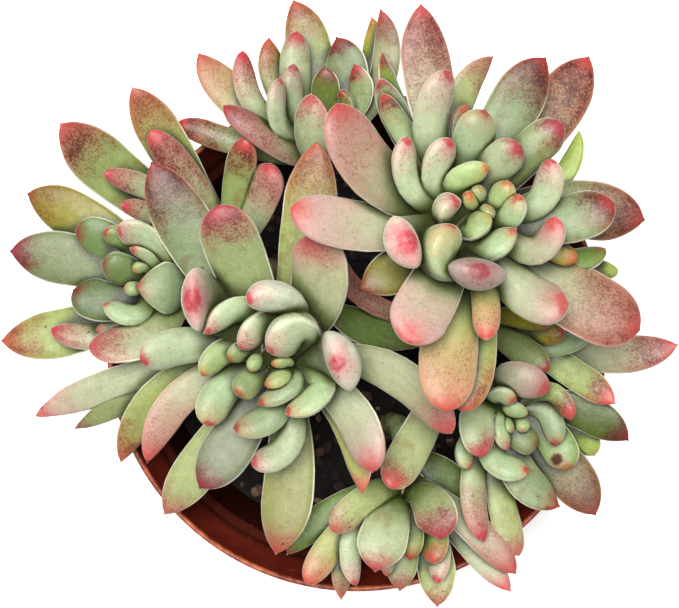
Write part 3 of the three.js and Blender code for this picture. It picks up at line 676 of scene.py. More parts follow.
RIGHT_LEAVES = (
    Leaf((524, 431), (520, 420), 4.6, BUD, SAGE),
    Leaf((512, 432), (508, 420), 4, BUD, SAGE),
    Leaf((528, 414), (505, 406), 5.4, BUD, SAGE),
    Leaf((516, 400), (495, 394), 6.4, CLUB, EMBER, lift=1, twist=25),
    Leaf((537, 446), (514, 428), 8, CLUB, AMBER, tone=0.74),
    Leaf((508, 450), (498, 412), 5.8, CLUB, EMBER, lift=1),
    Leaf((556, 446), (541, 408), 7.2, CLUB, EMBER, lift=1, tone=0.86),
    Leaf((549, 391), (502, 379), 10.4, CLUB, PETAL, lift=3, reach=0.9, twist=30, tone=0.87),
    Leaf((484, 456), (479, 408), 10.6, PADDLE, BERRY, lift=3, reach=0.4, twist=-30, tone=1.03),
    Leaf((529, 471), (492, 457), 8.4, CLUB, EMBER, over=16),
    Leaf((568, 470), (550, 434), 10.6, PADDLE, JADE, over=12, scar=(557, 459, 2)),
    Leaf((571, 420), (552, 392), 6, CLUB, FRECKLED, over=17, reach=0.5),
    Leaf((559, 506), (512, 462), 11.2, SPOON, RUSTY, over=10, reach=0.45, tone=0.86),
    Leaf((595, 514), (562, 464), 14, SPOON, TAN, over=6, reach=1.2, tone=0.74),
    Leaf((594, 455), (562, 418), 9.6, PADDLE, LIME, over=4),
    Leaf((628, 440), (578, 410), 11.2, SPOON, MOSS, over=10, tone=0.67),
    Leaf((471, 467), (464, 445), 6.4, CLUB, EMBER, lift=-3),
    Leaf((484, 541), (472, 478), 8, CLUB, BERRY, over=14, reach=0.9, tone=1.02),
    Leaf((519, 555), (496, 465), 8.8, PADDLE, HEATH, over=7, tone=1.04),
)

BOTTOM_LEAVES = (
    Leaf((410, 560), (410, 517), 7.6, SPOON, MOSS, over=14, reach=0.4, tone=0.95),
    Leaf((432, 563), (434, 536), 8.4, CLUB, TAN, over=14, reach=0.5, tone=0.98),
    Leaf((386, 576), (392, 550), 5, CLUB, EMBER, over=9),
    Leaf((375, 571), (392, 510), 14.4, SPOON, BERRY, over=20, reach=0.3, twist=-24, scar=(391, 512, 0.6)),
    Leaf((441, 539), (424, 492), 12.6, SPOON, WINE, over=19, reach=1.1, twist=30, tone=0.92),
    Leaf((332, 532), (380, 492), 9.4, CLUB, HEATH, over=18, plump=0.8, tone=1.04),
    Leaf((400, 590), (402, 551), 10, SPOON, HEATH, over=7, reach=0.8, tone=0.9),
    Leaf((436, 583), (438, 550), 7, CLUB, ROSE, over=11),
    Leaf((437, 606), (434, 560), 11.4, SPOON, HEATH, over=6, reach=0.8, tone=1.03),
    Leaf((356, 585), (356, 525), 6.6, CLUB, ROSE, over=11),
    Leaf((341, 599), (350, 545), 7.4, SPOON, HEATH, over=6, reach=1.2, tone=0.97),
    Leaf((307, 584), (345, 528), 8.8, PADDLE, PEACH, over=12, reach=0.5),
    Leaf((287, 554), (335, 500), 8.4, SPOON, DEEP, over=5),
    Leaf((515, 573), (462, 514), 9.4, LONG, CORAL, over=9, tone=0.92),
    Leaf((510, 591), (470, 544), 8.4, LONG, PETAL, over=6, reach=0.6),
    Leaf((464, 508), (432, 455), 11.6, SPOON, DEEP, over=-4, tone=0.8),
)

CLUMP = (
    RosettePlan("rosette_tall", "head_tall", TALL_LEAVES, (483, 206, 60), 9, 35, (22, 20)),
    RosettePlan("rosette_wide", "head_wide", WIDE_LEAVES, (268, 368, 40), 11, 220, (-14, -8)),
    RosettePlan("rosette_left", "head_left", LEFT_LEAVES, (132, 286, 18), 56, 180, (-40, 4), 1.6),
    RosettePlan("rosette_inner", "head_inner", INNER_LEAVES, (222, 240, 12), 22, 130, (-26, 22)),
    RosettePlan("rosette_top", "head_top", TOP_LEAVES, (319, 122, 13), 52, 92, (-6, 38), 1.4),
    RosettePlan("rosette_under", "head_under", UNDER_LEAVES, (482, 322, 16), 8, 300, (26, 2)),
    RosettePlan("rosette_right", "head_right", RIGHT_LEAVES, (517, 416, 16), 24, 320, (36, -20)),
    RosettePlan("rosette_bottom", "head_bottom", BOTTOM_LEAVES, (404, 510, 9), 56, 268, (8, -30), 2.2),
)


@dataclass(frozen=True)
class SeenFromAbove:
    """Turns points of the view from above into places, in mm. The same sizes are in the solids."""

    rim_height: float = 115.0
    middle: Pair = (339.5, 304.0)
    above: Pair = (-5.16, 11.17)
    distance: float = 420.0
    mm_per_point: float = 0.29928

    def at(self, point: Pair, over: float | np.ndarray) -> np.ndarray:
        """Find the place or places seen at a picture point.

        Args:
            point: The picture point.
            over: The place's height over the rim, or one height for each place.

        Returns:
            The place in mm, or one a row.
        """
        scale = self.mm_per_point * (self.distance - over) / self.distance
        x = self.above[0] + (point[0] - self.middle[0]) * scale
        y = self.above[1] - (point[1] - self.middle[1]) * scale
        return np.stack([x, y, self.rim_height + over], axis=-1)

    def beside(self, point: Pair, places: np.ndarray) -> np.ndarray:
        """Find how far places lie beside the line of sight through a picture point.

        Args:
            point: The picture point.
            places: Places in mm, one a row.

        Returns:
            Level distances in mm.
        """
        seen = self.at(point, places[:, 2] - self.rim_height)
        return np.linalg.norm((places - seen)[:, :2], axis=1)


VIEW = SeenFromAbove()


@dataclass(frozen=True)
class TubeBlank:
    """A plain upright tube of rings one unit apart that ends in a point, modelled once."""

    sides: int
    rings: int

    def model(self) -> bpy.types.Object:
        """Model the tube by extruding its filled foot upwards.

        Returns:
            The tube, one unit in radius.
        """
        deselect_all()
        bpy.ops.mesh.primitive_circle_add(vertices=self.sides, radius=1.0, fill_type="NGON")
        tube = bpy.context.active_object
        with editing(tube, "FACE"):
            bpy.ops.mesh.select_all(action="SELECT")
            for _ in range(self.rings):
                bpy.ops.mesh.extrude_region_move(TRANSFORM_OT_translate={"value": (0.0, 0.0, 1.0)})
            bpy.ops.mesh.merge(type="CENTER")
            bpy.ops.mesh.select_all(action="SELECT")
            bpy.ops.mesh.normals_make_consistent(inside=False)
        for face in tube.data.polygons:
            face.use_smooth = True
        return tube

    def rings_of(self, model: np.ndarray) -> np.ndarray:
        """Tell the ring of each point of the tube, the end point's being the last."""
        return np.clip(np.rint(model[:, 2]).astype(int), 0, self.rings)


@dataclass(frozen=True)
class LeafShape:
    """How every leaf swells, closes and ripples, in mm and shares of its length or width."""

    sides: int = 28
    root_thickness: float = 0.72
    swell_power: float = 1.5
    edge_power: float = 1.25
    hollow_power: float = 0.7
    ripple: float = 0.22
    ripple_scale: float = 0.16
    ripple_spread: float = 90.0
    body_stations: tuple[float, ...] = (0.0, 0.14, 0.28, 0.42, 0.56, 0.69, 0.81, 0.92, 1.0)
    end_radii: tuple[float, ...] = (0.985, 0.95, 0.89, 0.81, 0.71, 0.6, 0.48, 0.35, 0.22, 0.1)

    @property
    def blank(self) -> TubeBlank:
        """The tube that leaves are bent from, with a ring for each station and one point."""
        return TubeBlank(self.sides, len(self.body_stations) + len(self.end_radii))

    def stations(self, form: FormSize) -> np.ndarray:
        """Place the rings so that the end closes in even steps.

        Args:
            form: The leaf's kind.

        Returns:
            Fractions of the leaf's length, with the point at the end.
        """
        ends = [(1 - radius ** (1 / form.close)) ** (1 / form.blunt) for radius in self.end_radii]
        ends = [form.widest + (1 - form.widest) * end for end in ends]
        return np.array([*(form.widest * station for station in self.body_stations), *ends, 1.0])

    def section(self, at: np.ndarray, leaf: Leaf) -> tuple[np.ndarray, np.ndarray]:
        """Find half the width and half the thickness along a leaf.

        Args:
            at: Fractions of the leaf's length.
            leaf: The leaf.

        Returns:
            Half widths and half thicknesses.
        """
        form = leaf.form.value
        thick = (form.thinnest + form.by_width * leaf.width) * leaf.plump
        swell = np.sin(math.pi / 2 * np.clip(at / form.widest, 0, 1)) ** self.swell_power
        end = np.clip((at - form.widest) / (1 - form.widest), 0, 1)
        close = (1 - end**form.blunt) ** form.close
        half = leaf.width / 2 * (form.root + (1 - form.root) * swell) * close
        deep = thick * (self.root_thickness + (1 - self.root_thickness) * swell) * close
        return half, deep

    def outline(self, across: np.ndarray, up: np.ndarray, at: np.ndarray, form: FormSize) -> np.ndarray:
        """Find how far the surface stands from the leaf's middle plane, as shares of the depth.

        Args:
            across: The place from margin to margin, from -1 to 1.
            up: The place round the section, up to 1 on the face and down to -1 on the back.
            at: The fraction of the leaf's length.
            form: The leaf's kind.

        Returns:
            The distance as a share of half the thickness.
        """
        lens = np.sign(up) * np.abs(up) ** self.edge_power
        lens = lens * np.where(up > 0, form.face, form.back)
        hollow = form.dish * (1 - across**2) * np.sin(math.pi * np.clip(at, 0, 1)) ** self.hollow_power
        return lens - np.where(up > 0, hollow, 0.0)


@dataclass(frozen=True)
class Stem:
    """A head's fleshy stem, in mm. Its main sizes are in the solids too."""

    sides: int = 20
    bow_rings: int = 15
    bow: float = 0.42
    sunk: float = 6.0
    clear: float = 1.0
    neck: float = 19.0
    shoulder: float = 6.0
    end: float = 1.0
    foot_radius: float = 4.4
    neck_radius: float = 3.2
    tip_radius: float = 1.6
    shoulder_swell: float = 1.3
    knot: float = 0.1
    knot_pace: float = 2.4

    def spine(self, foot: Pair, apex: np.ndarray, axis: np.ndarray) -> np.ndarray:
        """Lead the stem's middle from under the soil, upright at first, to just below the apex.

        Args:
            foot: Where it leaves the soil.
            apex: The head's growing point.
            axis: The way the head faces.

        Returns:
            Points in mm.
        """
        collar = np.array([*foot, SOIL_TOP + SOIL_RELIEF + self.clear])
        under = collar - UP * (self.sunk + SOIL_RELIEF + self.clear)
        neck = apex - axis * self.neck
        reach = float(np.linalg.norm(neck - collar)) * self.bow
        low, high = collar + UP * reach, neck - axis * reach
        steps = np.linspace(0, 1, self.bow_rings)[:, None]
        rest = 1 - steps
        bow = rest**3 * collar + 3 * rest**2 * steps * low + 3 * rest * steps**2 * high + steps**3 * neck
        return np.vstack([under, bow, apex - axis * self.shoulder, apex - axis * self.end])

    def grow(self, foot: Pair, apex: np.ndarray, axis: np.ndarray) -> bpy.types.Object:
        """Bend a tube along the spine.

        Args:
            foot: Where the stem leaves the soil.
            apex: The head's growing point.
            axis: The way the head faces.

        Returns:
            The stem, in metres.
        """
        spine = self.spine(foot, apex, axis)
        taper = np.linspace(self.foot_radius, self.neck_radius, self.bow_rings)
        radii = np.array([self.foot_radius, *taper, self.tip_radius * self.shoulder_swell, 0.0])
        radii *= 1 + self.knot * np.sin(np.arange(len(radii)) * self.knot_pace + foot[0])
        blank = TubeBlank(self.sides, len(spine) - 1)
        stem = blank.model()
        model = points_of(stem)
        ring = blank.rings_of(model)
        along = unit(np.gradient(spine, axis=0))
        first = unit(np.cross(np.array([0.0, 1.0, 0.0]), along))
        second = np.cross(along, first)
        around = first[ring] * model[:, :1] + second[ring] * model[:, 1:2]
        place_points(stem, (spine[ring] + radii[ring][:, None] * around) * MILLIMETRE)
        note_values(stem, "stem_age", 1 - ring / blank.rings)
        return stem


@dataclass(frozen=True)
class Shelter:
    """How the shade of near leaves is judged: rays sent to the sky, and lengths in mm."""

    rays: int = 14
    reach: float = 14.0
    clear: float = 0.3
    smoothed: int = 3

    def sky(self) -> list[Vector]:
        """Spread the rays evenly over the sky, in a spiral that turns by the golden angle.

        Returns:
            Directions one unit long.
        """
        rise = (np.arange(self.rays) + 0.5) / self.rays
        turn = np.arange(self.rays) * math.pi * (3 - math.sqrt(5))
        level = np.sqrt(rise)
        rays = np.stack([level * np.cos(turn), level * np.sin(turn), np.sqrt(1 - rise)], axis=1)
        return [Vector(ray) for ray in rays]

    def note(self, head: bpy.types.Object) -> None:
        """Note how much of the sky a head's own leaves hide from each of its points.

        Args:
            head: The joined head.
        """
        mesh = head.data
        tree = BVHTree.FromPolygons([v.co for v in mesh.vertices], [face.vertices for face in mesh.polygons])
        sky, reach = self.sky(), self.reach * MILLIMETRE
        hidden = np.empty(len(mesh.vertices))
        for index, (vertex, normal) in enumerate(zip(mesh.vertices, mesh.vertex_normals)):
            start = vertex.co + normal.vector * self.clear * MILLIMETRE
            hits = (tree.ray_cast(start, ray, reach)[3] for ray in sky)
            hidden[index] = sum(1 - hit / reach for hit in hits if hit is not None) / self.rays
        ends = np.array([edge.vertices[:] for edge in mesh.edges])
        met = np.bincount(ends.ravel(), minlength=len(hidden))
        for _ in range(self.smoothed):
            around = np.bincount(ends[:, 0], hidden[ends[:, 1]], len(hidden))
            around += np.bincount(ends[:, 1], hidden[ends[:, 0]], len(hidden))
            hidden = 0.5 * hidden + 0.5 * around / met
        note_values(head, "leaf_shelter", hidden)


@dataclass(frozen=True)
class Rosette:
    """One head of the clump: its leaves and its stem as one piece.

    The sizes, in mm, say how leaves sit on the stem, and are in the solids too. Tips without a
    height lie on a bowl round the axis. Roots are lower the further out or down a tip is.
    """

    plan: RosettePlan
    leaf_shape: LeafShape = LeafShape()
    stem: Stem = Stem()
    shelter: Shelter = Shelter()
    bowl_rise: float = 2.0
    bowl_slope: float = 0.06
    bowl_fall: float = 0.0045
    lowest_tip: float = -42.0
    highest_tip: float = 140.0
    halvings: int = 30
    root_start: float = 1.5
    root_by_distance: float = 0.26
    root_by_hang: float = 0.25
    lying_over: float = 0.6
    upright_turn: float = 0.8
    seen_earliest: float = 0.34
    seen_latest: float = 0.6

    @cached_property
    def apex(self) -> np.ndarray:
        """The growing point, in mm."""
        return VIEW.at(self.plan.apex[:2], self.plan.apex[2])

    @cached_property
    def axis(self) -> np.ndarray:
        """The way the head faces."""
        lean, toward = math.radians(self.plan.lean), math.radians(self.plan.toward)
        level = math.sin(lean)
        return np.array([level * math.cos(toward), level * math.sin(toward), math.cos(lean)])

    def from_axis(self, point: np.ndarray) -> tuple[float, np.ndarray]:
        """Split a place into how far along the axis it is and the way out to it.

        Args:
            point: A place in mm.

        Returns:
            The distance along the axis, and the vector from the axis to the place.
        """
        offset = point - self.apex
        along = float(offset @ self.axis)
        return along, offset - along * self.axis

    def tip_height(self, leaf: Leaf) -> float:
        """Find a tip's height over the rim, by halving where the leaf doesn't give it.

        Args:
            leaf: The leaf.

        Returns:
            The height in mm.
        """
        if leaf.over is not None:
            return leaf.over
        low, high = self.lowest_tip, self.highest_tip
        for _ in range(self.halvings):
            middle = (low + high) / 2
            along, outward = self.from_axis(VIEW.at(leaf.tip, middle))
            out = float(np.linalg.norm(outward))
            bowl = self.bowl_rise + self.bowl_slope * out - self.bowl_fall * out * out
            if along > bowl + leaf.lift:
                high = middle
            else:
                low = middle
        return low

    def root_drop(self, leaf: Leaf, along: float, out: float) -> float:
        """Find how far down the stem a leaf roots.

        Args:
            leaf: The leaf.
            along: How far along the axis its tip is.
            out: How far from the axis its tip is.

        Returns:
            The distance below the apex.
        """
        drop = self.root_start + self.root_by_distance * out - self.root_by_hang * min(along, 0.0)
        level = math.hypot(self.axis[0], self.axis[1])
        if level > self.lying_over:
            seen = VIEW.at(leaf.root, self.apex[2] - VIEW.rim_height) - self.apex
            drop = max(drop, -float(seen[:2] @ self.axis[:2]) / level**2)
        return min(drop, self.stem.neck)

    def bend_through_seen(self, leaf: Leaf, root: np.ndarray, tip: np.ndarray, over: float) -> np.ndarray:
        """Find the bend that takes a leaf through the place where its root goes out of sight.

        Args:
            leaf: The leaf.
            root: Its root.
            tip: Its tip.
            over: The tip's height over the rim.

        Returns:
            The bend in mm.
        """
        seen = VIEW.at(leaf.root, (root[2] - VIEW.rim_height + over) / 2)
        hidden = float(np.linalg.norm((seen - root)[:2]))
        shown = float(np.linalg.norm((tip - seen)[:2]))
        at = min(max(hidden / (hidden + shown), self.seen_earliest), self.seen_latest)
        return (seen - (1 - at) ** 2 * root - at**2 * tip) / (2 * at * (1 - at))

    def centre_line(self, leaf: Leaf) -> tuple[np.ndarray, np.ndarray, np.ndarray, np.ndarray]:
        """Find a leaf's centre line.

        Args:
            leaf: The leaf.

        Returns:
            Its root, bend and tip in mm, and the way out from the axis.
        """
        over = self.tip_height(leaf)
        tip = VIEW.at(leaf.tip, over)
        along, outward = self.from_axis(tip)
        out = float(np.linalg.norm(outward))
        outward = outward / out
        root = self.apex - self.root_drop(leaf, along, out) * self.axis
        root = root + outward * self.stem.tip_radius / 2
        turn = leaf.form.value.turn
        rise = float((tip - root) @ self.axis)
        bend = tip.copy() if turn > self.upright_turn else self.bend_through_seen(leaf, root, tip, over)
        bend = bend + self.axis * (float((root - bend) @ self.axis) + rise * (0.5 - 0.5 * turn))
        return root, bend, tip, outward

    def frames(self, leaf: Leaf, stations: np.ndarray) -> tuple[np.ndarray, np.ndarray, np.ndarray]:
        """Find a leaf's middle at each station, and the ways its face and its side look there.

        Args:
            leaf: The leaf.
            stations: Fractions of its length.

        Returns:
            Middles in mm, face directions and side directions.
        """
        root, bend, tip, outward = self.centre_line(leaf)
        at = stations[:, None]
        middle = (1 - at) ** 2 * root + 2 * at * (1 - at) * bend + at**2 * tip
        along = unit(2 * (1 - at) * (bend - root) + 2 * at * (tip - bend))
        middle[-1] += along[-1] * leaf.form.value.point
        light = self.plan.light * (1 - max(float(outward[2]), 0.0))
        face = self.axis + (UP - self.axis) * light - outward
        face = unit(face - np.sum(along * face, axis=1, keepdims=True) * along)
        side = unit(np.cross(face, along))
        turn = math.radians(leaf.twist)
        level, steep = math.cos(turn), math.sin(turn)
        return middle, face * level + side * steep, side * level - face * steep

    def grow_leaf(self, blank: bpy.types.Object, leaf: Leaf, seed: float) -> bpy.types.Object:
        """Bend a copy of the blank into one leaf and note what its colours need.

        Args:
            blank: The blank tube with one ring for each station.
            leaf: The leaf to grow.
            seed: A number from 0 to 1 of the leaf's own.

        Returns:
            The leaf, in metres.
        """
        shape, form, look = self.leaf_shape, leaf.form.value, leaf.look.value
        stations = shape.stations(form)
        middle, face, side = self.frames(leaf, stations)
        half, deep = shape.section(stations, leaf)
        model = points_of(blank)
        ring = shape.blank.rings_of(model)
        across, up = model[:, 0], model[:, 1]
        stand = shape.outline(across, up, stations[ring], form)
        points = middle[ring] + side[ring] * (half[ring] * across)[:, None]
        points = points + face[ring] * (deep[ring] * stand)[:, None]
        swirl = Vector((seed * shape.ripple_spread, 0, 0))
        waves = [noise.noise_vector(Vector(point) * shape.ripple_scale + swirl) for point in points]
        points = points + np.array(waves) * shape.ripple

        grown = copy_of(blank)
        place_points(grown, points * MILLIMETRE)
        from_tip = np.linalg.norm(points - middle[-1], axis=1)
        note_values(grown, "leaf_place", np.stack([stations[ring], across, from_tip], axis=1))
        note_values(grown, "leaf_trait", np.array([look.reach * leaf.reach, look.point, look.strength]))
        note_values(grown, "leaf_habit", np.array([look.mottle, seed, form.margin]))
        for name in ("body", "blush", "tip", "patch"):
            note_values(grown, "leaf_" + name, np.array(linear(getattr(look, name), LEAF_SHARE)))
        # The tone is partly the leaf's own and partly painted light and shade for how lit the leaf lies.
        note_values(grown, "leaf_tone_and_painted_light", leaf.tone**TONE_POWER * WARMTH)
        x, y, size = leaf.scar
        note_values(grown, "leaf_scar", VIEW.beside((x, y), points) / size)
        return grown

    def build(self, skin: bpy.types.Material, bark: bpy.types.Material, draw: np.random.Generator) -> None:
        """Grow the whole head and tie it to the part.

        Args:
            skin: The leaves' material.
            bark: The stem's material.
            draw: The seeded draw that gives each leaf its own number.
        """
        blank = self.leaf_shape.blank.model()
        blank.data.materials.append(skin)
        leaves = [self.grow_leaf(blank, leaf, float(draw.random())) for leaf in self.plan.leaves]
        bpy.data.objects.remove(blank)
        stem = self.stem.grow(self.plan.foot, self.apex, self.axis)
        stem.data.materials.append(bark)
        head = join(self.plan.name, [*leaves, stem])
        self.shelter.note(head)
        dress(head, "leaves", self.plan.node)


class LeafSkin(Finish):
    """Thick waxy leaf skin: pale green with a blush, a red dab, a pale margin with a painted highlight and
    freckles, and with painted shade in its folds and a painted sheen at edges that turn from the eye.
    """

    title = "leaf_skin"
    # Deeper green: the leaf's own green where its bloom is rubbed off, and painted shade at the roots and in
    # the folds.
    rubbed_green_and_painted_shade = linear((94, 114, 44), LEAF_SHARE)
    # Painted shade colour for deep in the folds between leaves.
    hollow = linear((48, 55, 17), LEAF_SHARE)
    # Pale margin colour, which also stands in as a painted highlight along the edge.
    pale_margin_and_highlight = linear((246, 238, 222), RIM_SHARE)
    pink_rim = linear((238, 168, 158), LEAF_SHARE)
    freckle = linear((112, 46, 44), LEAF_SHARE)
    pale_speck = linear((232, 206, 188), LEAF_SHARE)
    stain = linear((176, 142, 82), LEAF_SHARE)
    bloom = linear((218, 230, 182), LEAF_SHARE)
    # Painted sheen colour for edges that turn from the eye.
    painted_edge_sheen = linear((240, 240, 222), RIM_SHARE)
    wound = linear((78, 38, 20), LEAF_SHARE)
    callus = linear((208, 180, 140), LEAF_SHARE)
    lightened = (1.7, 1.7, 1.8, 1.0)

    def __init__(self) -> None:
        """Read what the leaves keep for their skin, and find the blush and the dab."""
        super().__init__()
        self.along, self.across, self.from_tip = self.parts(self.kept("leaf_place", "Vector"))
        self.reach, self.point, self.strength = self.parts(self.kept("leaf_trait", "Vector"))
        self.mottle, self.seed, self.margin = self.parts(self.kept("leaf_habit", "Vector"))
        self.shelter = self.kept("leaf_shelter")
        self.edge = abs(self.across)
        self.wobble = self.cloud(240, 6, 0.68) - 0.5
        self.from_blush = (self.wobble * 14.0 + self.from_tip) / self.reach - self.edge**2.0 * 0.3
        self.from_dab = self.dab_distance()

    def dab_distance(self) -> Signal:
        """Find how far a point is from the red dab, which sits in from the end of a flat leaf.

        Returns:
            0 in the middle of the dab and 1 about its edge.
        """
        inset = self.margin * (self.margin * -2.0 + 2.0)
        length = (self.wobble * 5.0 + self.from_tip) / self.point
        flank = self.edge**3.0 * (self.margin * 0.3)
        return abs(length - inset) / (1.0 - inset) - flank + self.edge**2.0 * inset

    def green(self) -> Signal:
        """Colour the bare leaf: darker towards its root, partly its greener base and partly painted shade,
        then streaked, rubbed, powdery and stained.

        Returns:
            The leaf's colour, with painted shade towards its root.
        """
        # Painted shade on a greener base: the leaf darkens towards its root, where the leaves crowd.
        body = self.kept("leaf_body", "Color").coat(self.rubbed_green_and_painted_shade, self.along.ease(0.6, 0.1))
        lengthways = self.together(self.across * 2.6, self.along * 2.2, self.seed * 60.0)
        streak = self.cloud(1.5, 5, 0.62, lengthways).ease(0.42, 0.72) * 0.2
        body = body.coat(body.coat(self.lightened, 1.0, "MULTIPLY"), streak)
        rubbed = self.cloud(150, 5, 0.66).ease(0.5, 0.7) * (self.mottle * 0.16 + 0.14)
        powder = self.cloud(520, 5, 0.74).ease(0.5, 0.66) * (self.mottle * 0.12 + 0.14)
        stains = self.cloud(150, 5, 0.62).ease(0.54, 0.66) * (self.mottle * 0.5)
        return body.coat(self.rubbed_green_and_painted_shade, rubbed).coat(self.bloom, powder).coat(self.stain, stains)

    def blushed(self, colour: Signal) -> Signal:
        """Lay the blush and the red dab with its halo over a colour.

        Args:
            colour: The green skin.

        Returns:
            The new colour.
        """
        blush = self.from_blush.ease(1.1, 0.05) * self.strength
        halo = self.from_dab.ease(2.3, 0.5) * 0.38
        crisp = self.from_dab.ease(1.08, 0.55)
        soft = self.from_dab.ease(1.6, 0.05) - crisp
        mottled = self.cloud(760, 4, 0.75).ease(0.38, 0.56) * 0.34 + 0.56
        dab = (soft * self.margin + crisp) * mottled
        red = self.kept("leaf_tip", "Color")
        return colour.coat(self.kept("leaf_blush", "Color"), blush).coat(red, halo).coat(red, dab)

    def freckled(self, colour: Signal) -> Signal:
        """Strew dark patches and grains, pale specks, fine freckles and dots over a colour.

        Args:
            colour: The blushed skin.

        Returns:
            The new colour.
        """
        near = self.from_blush.ease(1.3, 0.3) * self.mottle
        core = near * self.from_dab.ease(0.2, 1.4) * self.edge.ease(1.05, 0.7)
        core = core * (self.cloud(230, 4, 0.6).ease(0.38, 0.62) * 0.55 + 0.6)
        speckle = self.cloud(1600, 4, 0.8)
        grains = (core * 0.15 + speckle).ease(0.565, 0.635) * core.ease(0.0, 0.3)
        colour = colour.coat(self.kept("leaf_patch", "Color"), (core * 0.4 + grains * 0.6) * 0.9)
        colour = colour.coat(self.pale_speck, speckle.ease(0.42, 0.34) * near * 0.25)
        fine = self.specks(900, 0.3) * self.cloud(260, 2).ease(0.5, 0.66)
        dots = self.specks(110, 0.07) * self.cloud(60, 1).ease(0.48, 0.52)
        return colour.coat(self.freckle, fine * 0.35).coat(self.freckle, dots * 0.8)

    def painted_shade_and_sheen(self, colour: Signal) -> Signal:
        """Paint shade into the folds where leaves stand close, paint a pale sheen where the surface turns
        from the eye, and apply the leaf's tone.

        Args:
            colour: The freckled skin.

        Returns:
            The new colour.
        """
        # Painted shade: darker green where the head's own leaves hide the sky, near black deep in the folds.
        painted_shade_share = self.shelter.ease(0.1, 0.38) * 0.78
        hidden = self.shelter.ease(0.21, 0.52) * 0.94
        # Painted sheen: a pale whitening where the surface turns from the eye, in the open.
        painted_sheen_share = self.facing.ease(0.55, 0.92) * self.shelter.ease(0.4, 0.15) * 0.8
        colour = colour.coat(self.rubbed_green_and_painted_shade, painted_shade_share).coat(self.hollow, hidden).coat(self.painted_edge_sheen, painted_sheen_share)
        # The leaf's tone, partly painted light and shade for how lit the leaf lies.
        return colour.coat(self.kept("leaf_tone_and_painted_light", "Color"), 1.0, "MULTIPLY")

    def rimmed(self, colour: Signal) -> Signal:
        """Draw the pale margin, partly the leaf's own pale edge and partly a painted highlight along it,
        pink where the blush is.

        Args:
            colour: The skin with its scar.

        Returns:
            The new colour.
        """
        # Pale margin, partly the leaf's own edge and partly a painted highlight, patchy along the edge.
        rim = self.edge.ease(0.92, 0.985) * self.from_tip.ease(1.0, 3.0) * self.margin
        rim = rim * (self.cloud(45, 2).ease(0.4, 0.6) * 0.5 + 0.35)
        return colour.coat(self.blend(self.pale_margin_and_highlight, self.pink_rim, self.from_blush.ease(0.8, 0.1)), rim)

    def material(self) -> bpy.types.Material:
        """Lay out the leaf skin.

        Returns:
            The material.
        """
        colour = self.painted_shade_and_sheen(self.freckled(self.blushed(self.green())))
        scar = self.wobble * 1.6 + self.kept("leaf_scar")
        dead = scar.ease(1.25, 0.55)
        colour = colour.coat(self.callus, scar.ease(1.5, 1.1) * 0.5).coat(self.wound, dead * 0.94)
        colour = self.rimmed(colour)
        grain = self.cloud(1500, 5, 0.7)
        colour = colour.coat(self.greys(0.3, 0.7, self.cloud(430, 6, 0.75)), 0.5, "OVERLAY")
        colour = colour.coat(self.greys(0.25, 0.75, grain), 0.6, "OVERLAY")
        self.relief(self.cloud(320, 3) * 1.8 + grain, 0.3, 0.0003)
        return self.done(
            Base_Color=colour,
            Roughness=self.cloud(420, 2) * 0.25 + 0.34,
            IOR=1.42,
            Specular_IOR_Level=dead * -0.4 + 0.5,
            Subsurface_Weight=0.15,
            Subsurface_Radius=(1.0, 0.7, 0.35),
            Subsurface_Scale=0.0015,
        )


class StemBark(Finish):
    """Corky stem skin: grey brown and scarred at the foot, green under the leaves."""

    title = "stem_bark"
    old = linear((132, 108, 84))
    young = linear((138, 152, 98))
    scar = linear((78, 60, 46))

    def material(self) -> bpy.types.Material:
        """Lay out the bark.

        Returns:
            The material.
        """
        rough = self.cloud(260, 6, 0.65)
        scars = self.specks(210, 0.4) * 0.7
        aged = (rough * 0.4 + self.kept("stem_age")).ease(0.45, 0.95)
        colour = self.blend(self.young, self.old, aged).coat(self.scar, scars)
        colour = colour.coat(self.scar, rough.ease(0.5, 0.7), "SOFT_LIGHT")
        self.relief(rough - scars, 0.6, 0.0006)
        return self.done(Base_Color=colour, Roughness=0.82)


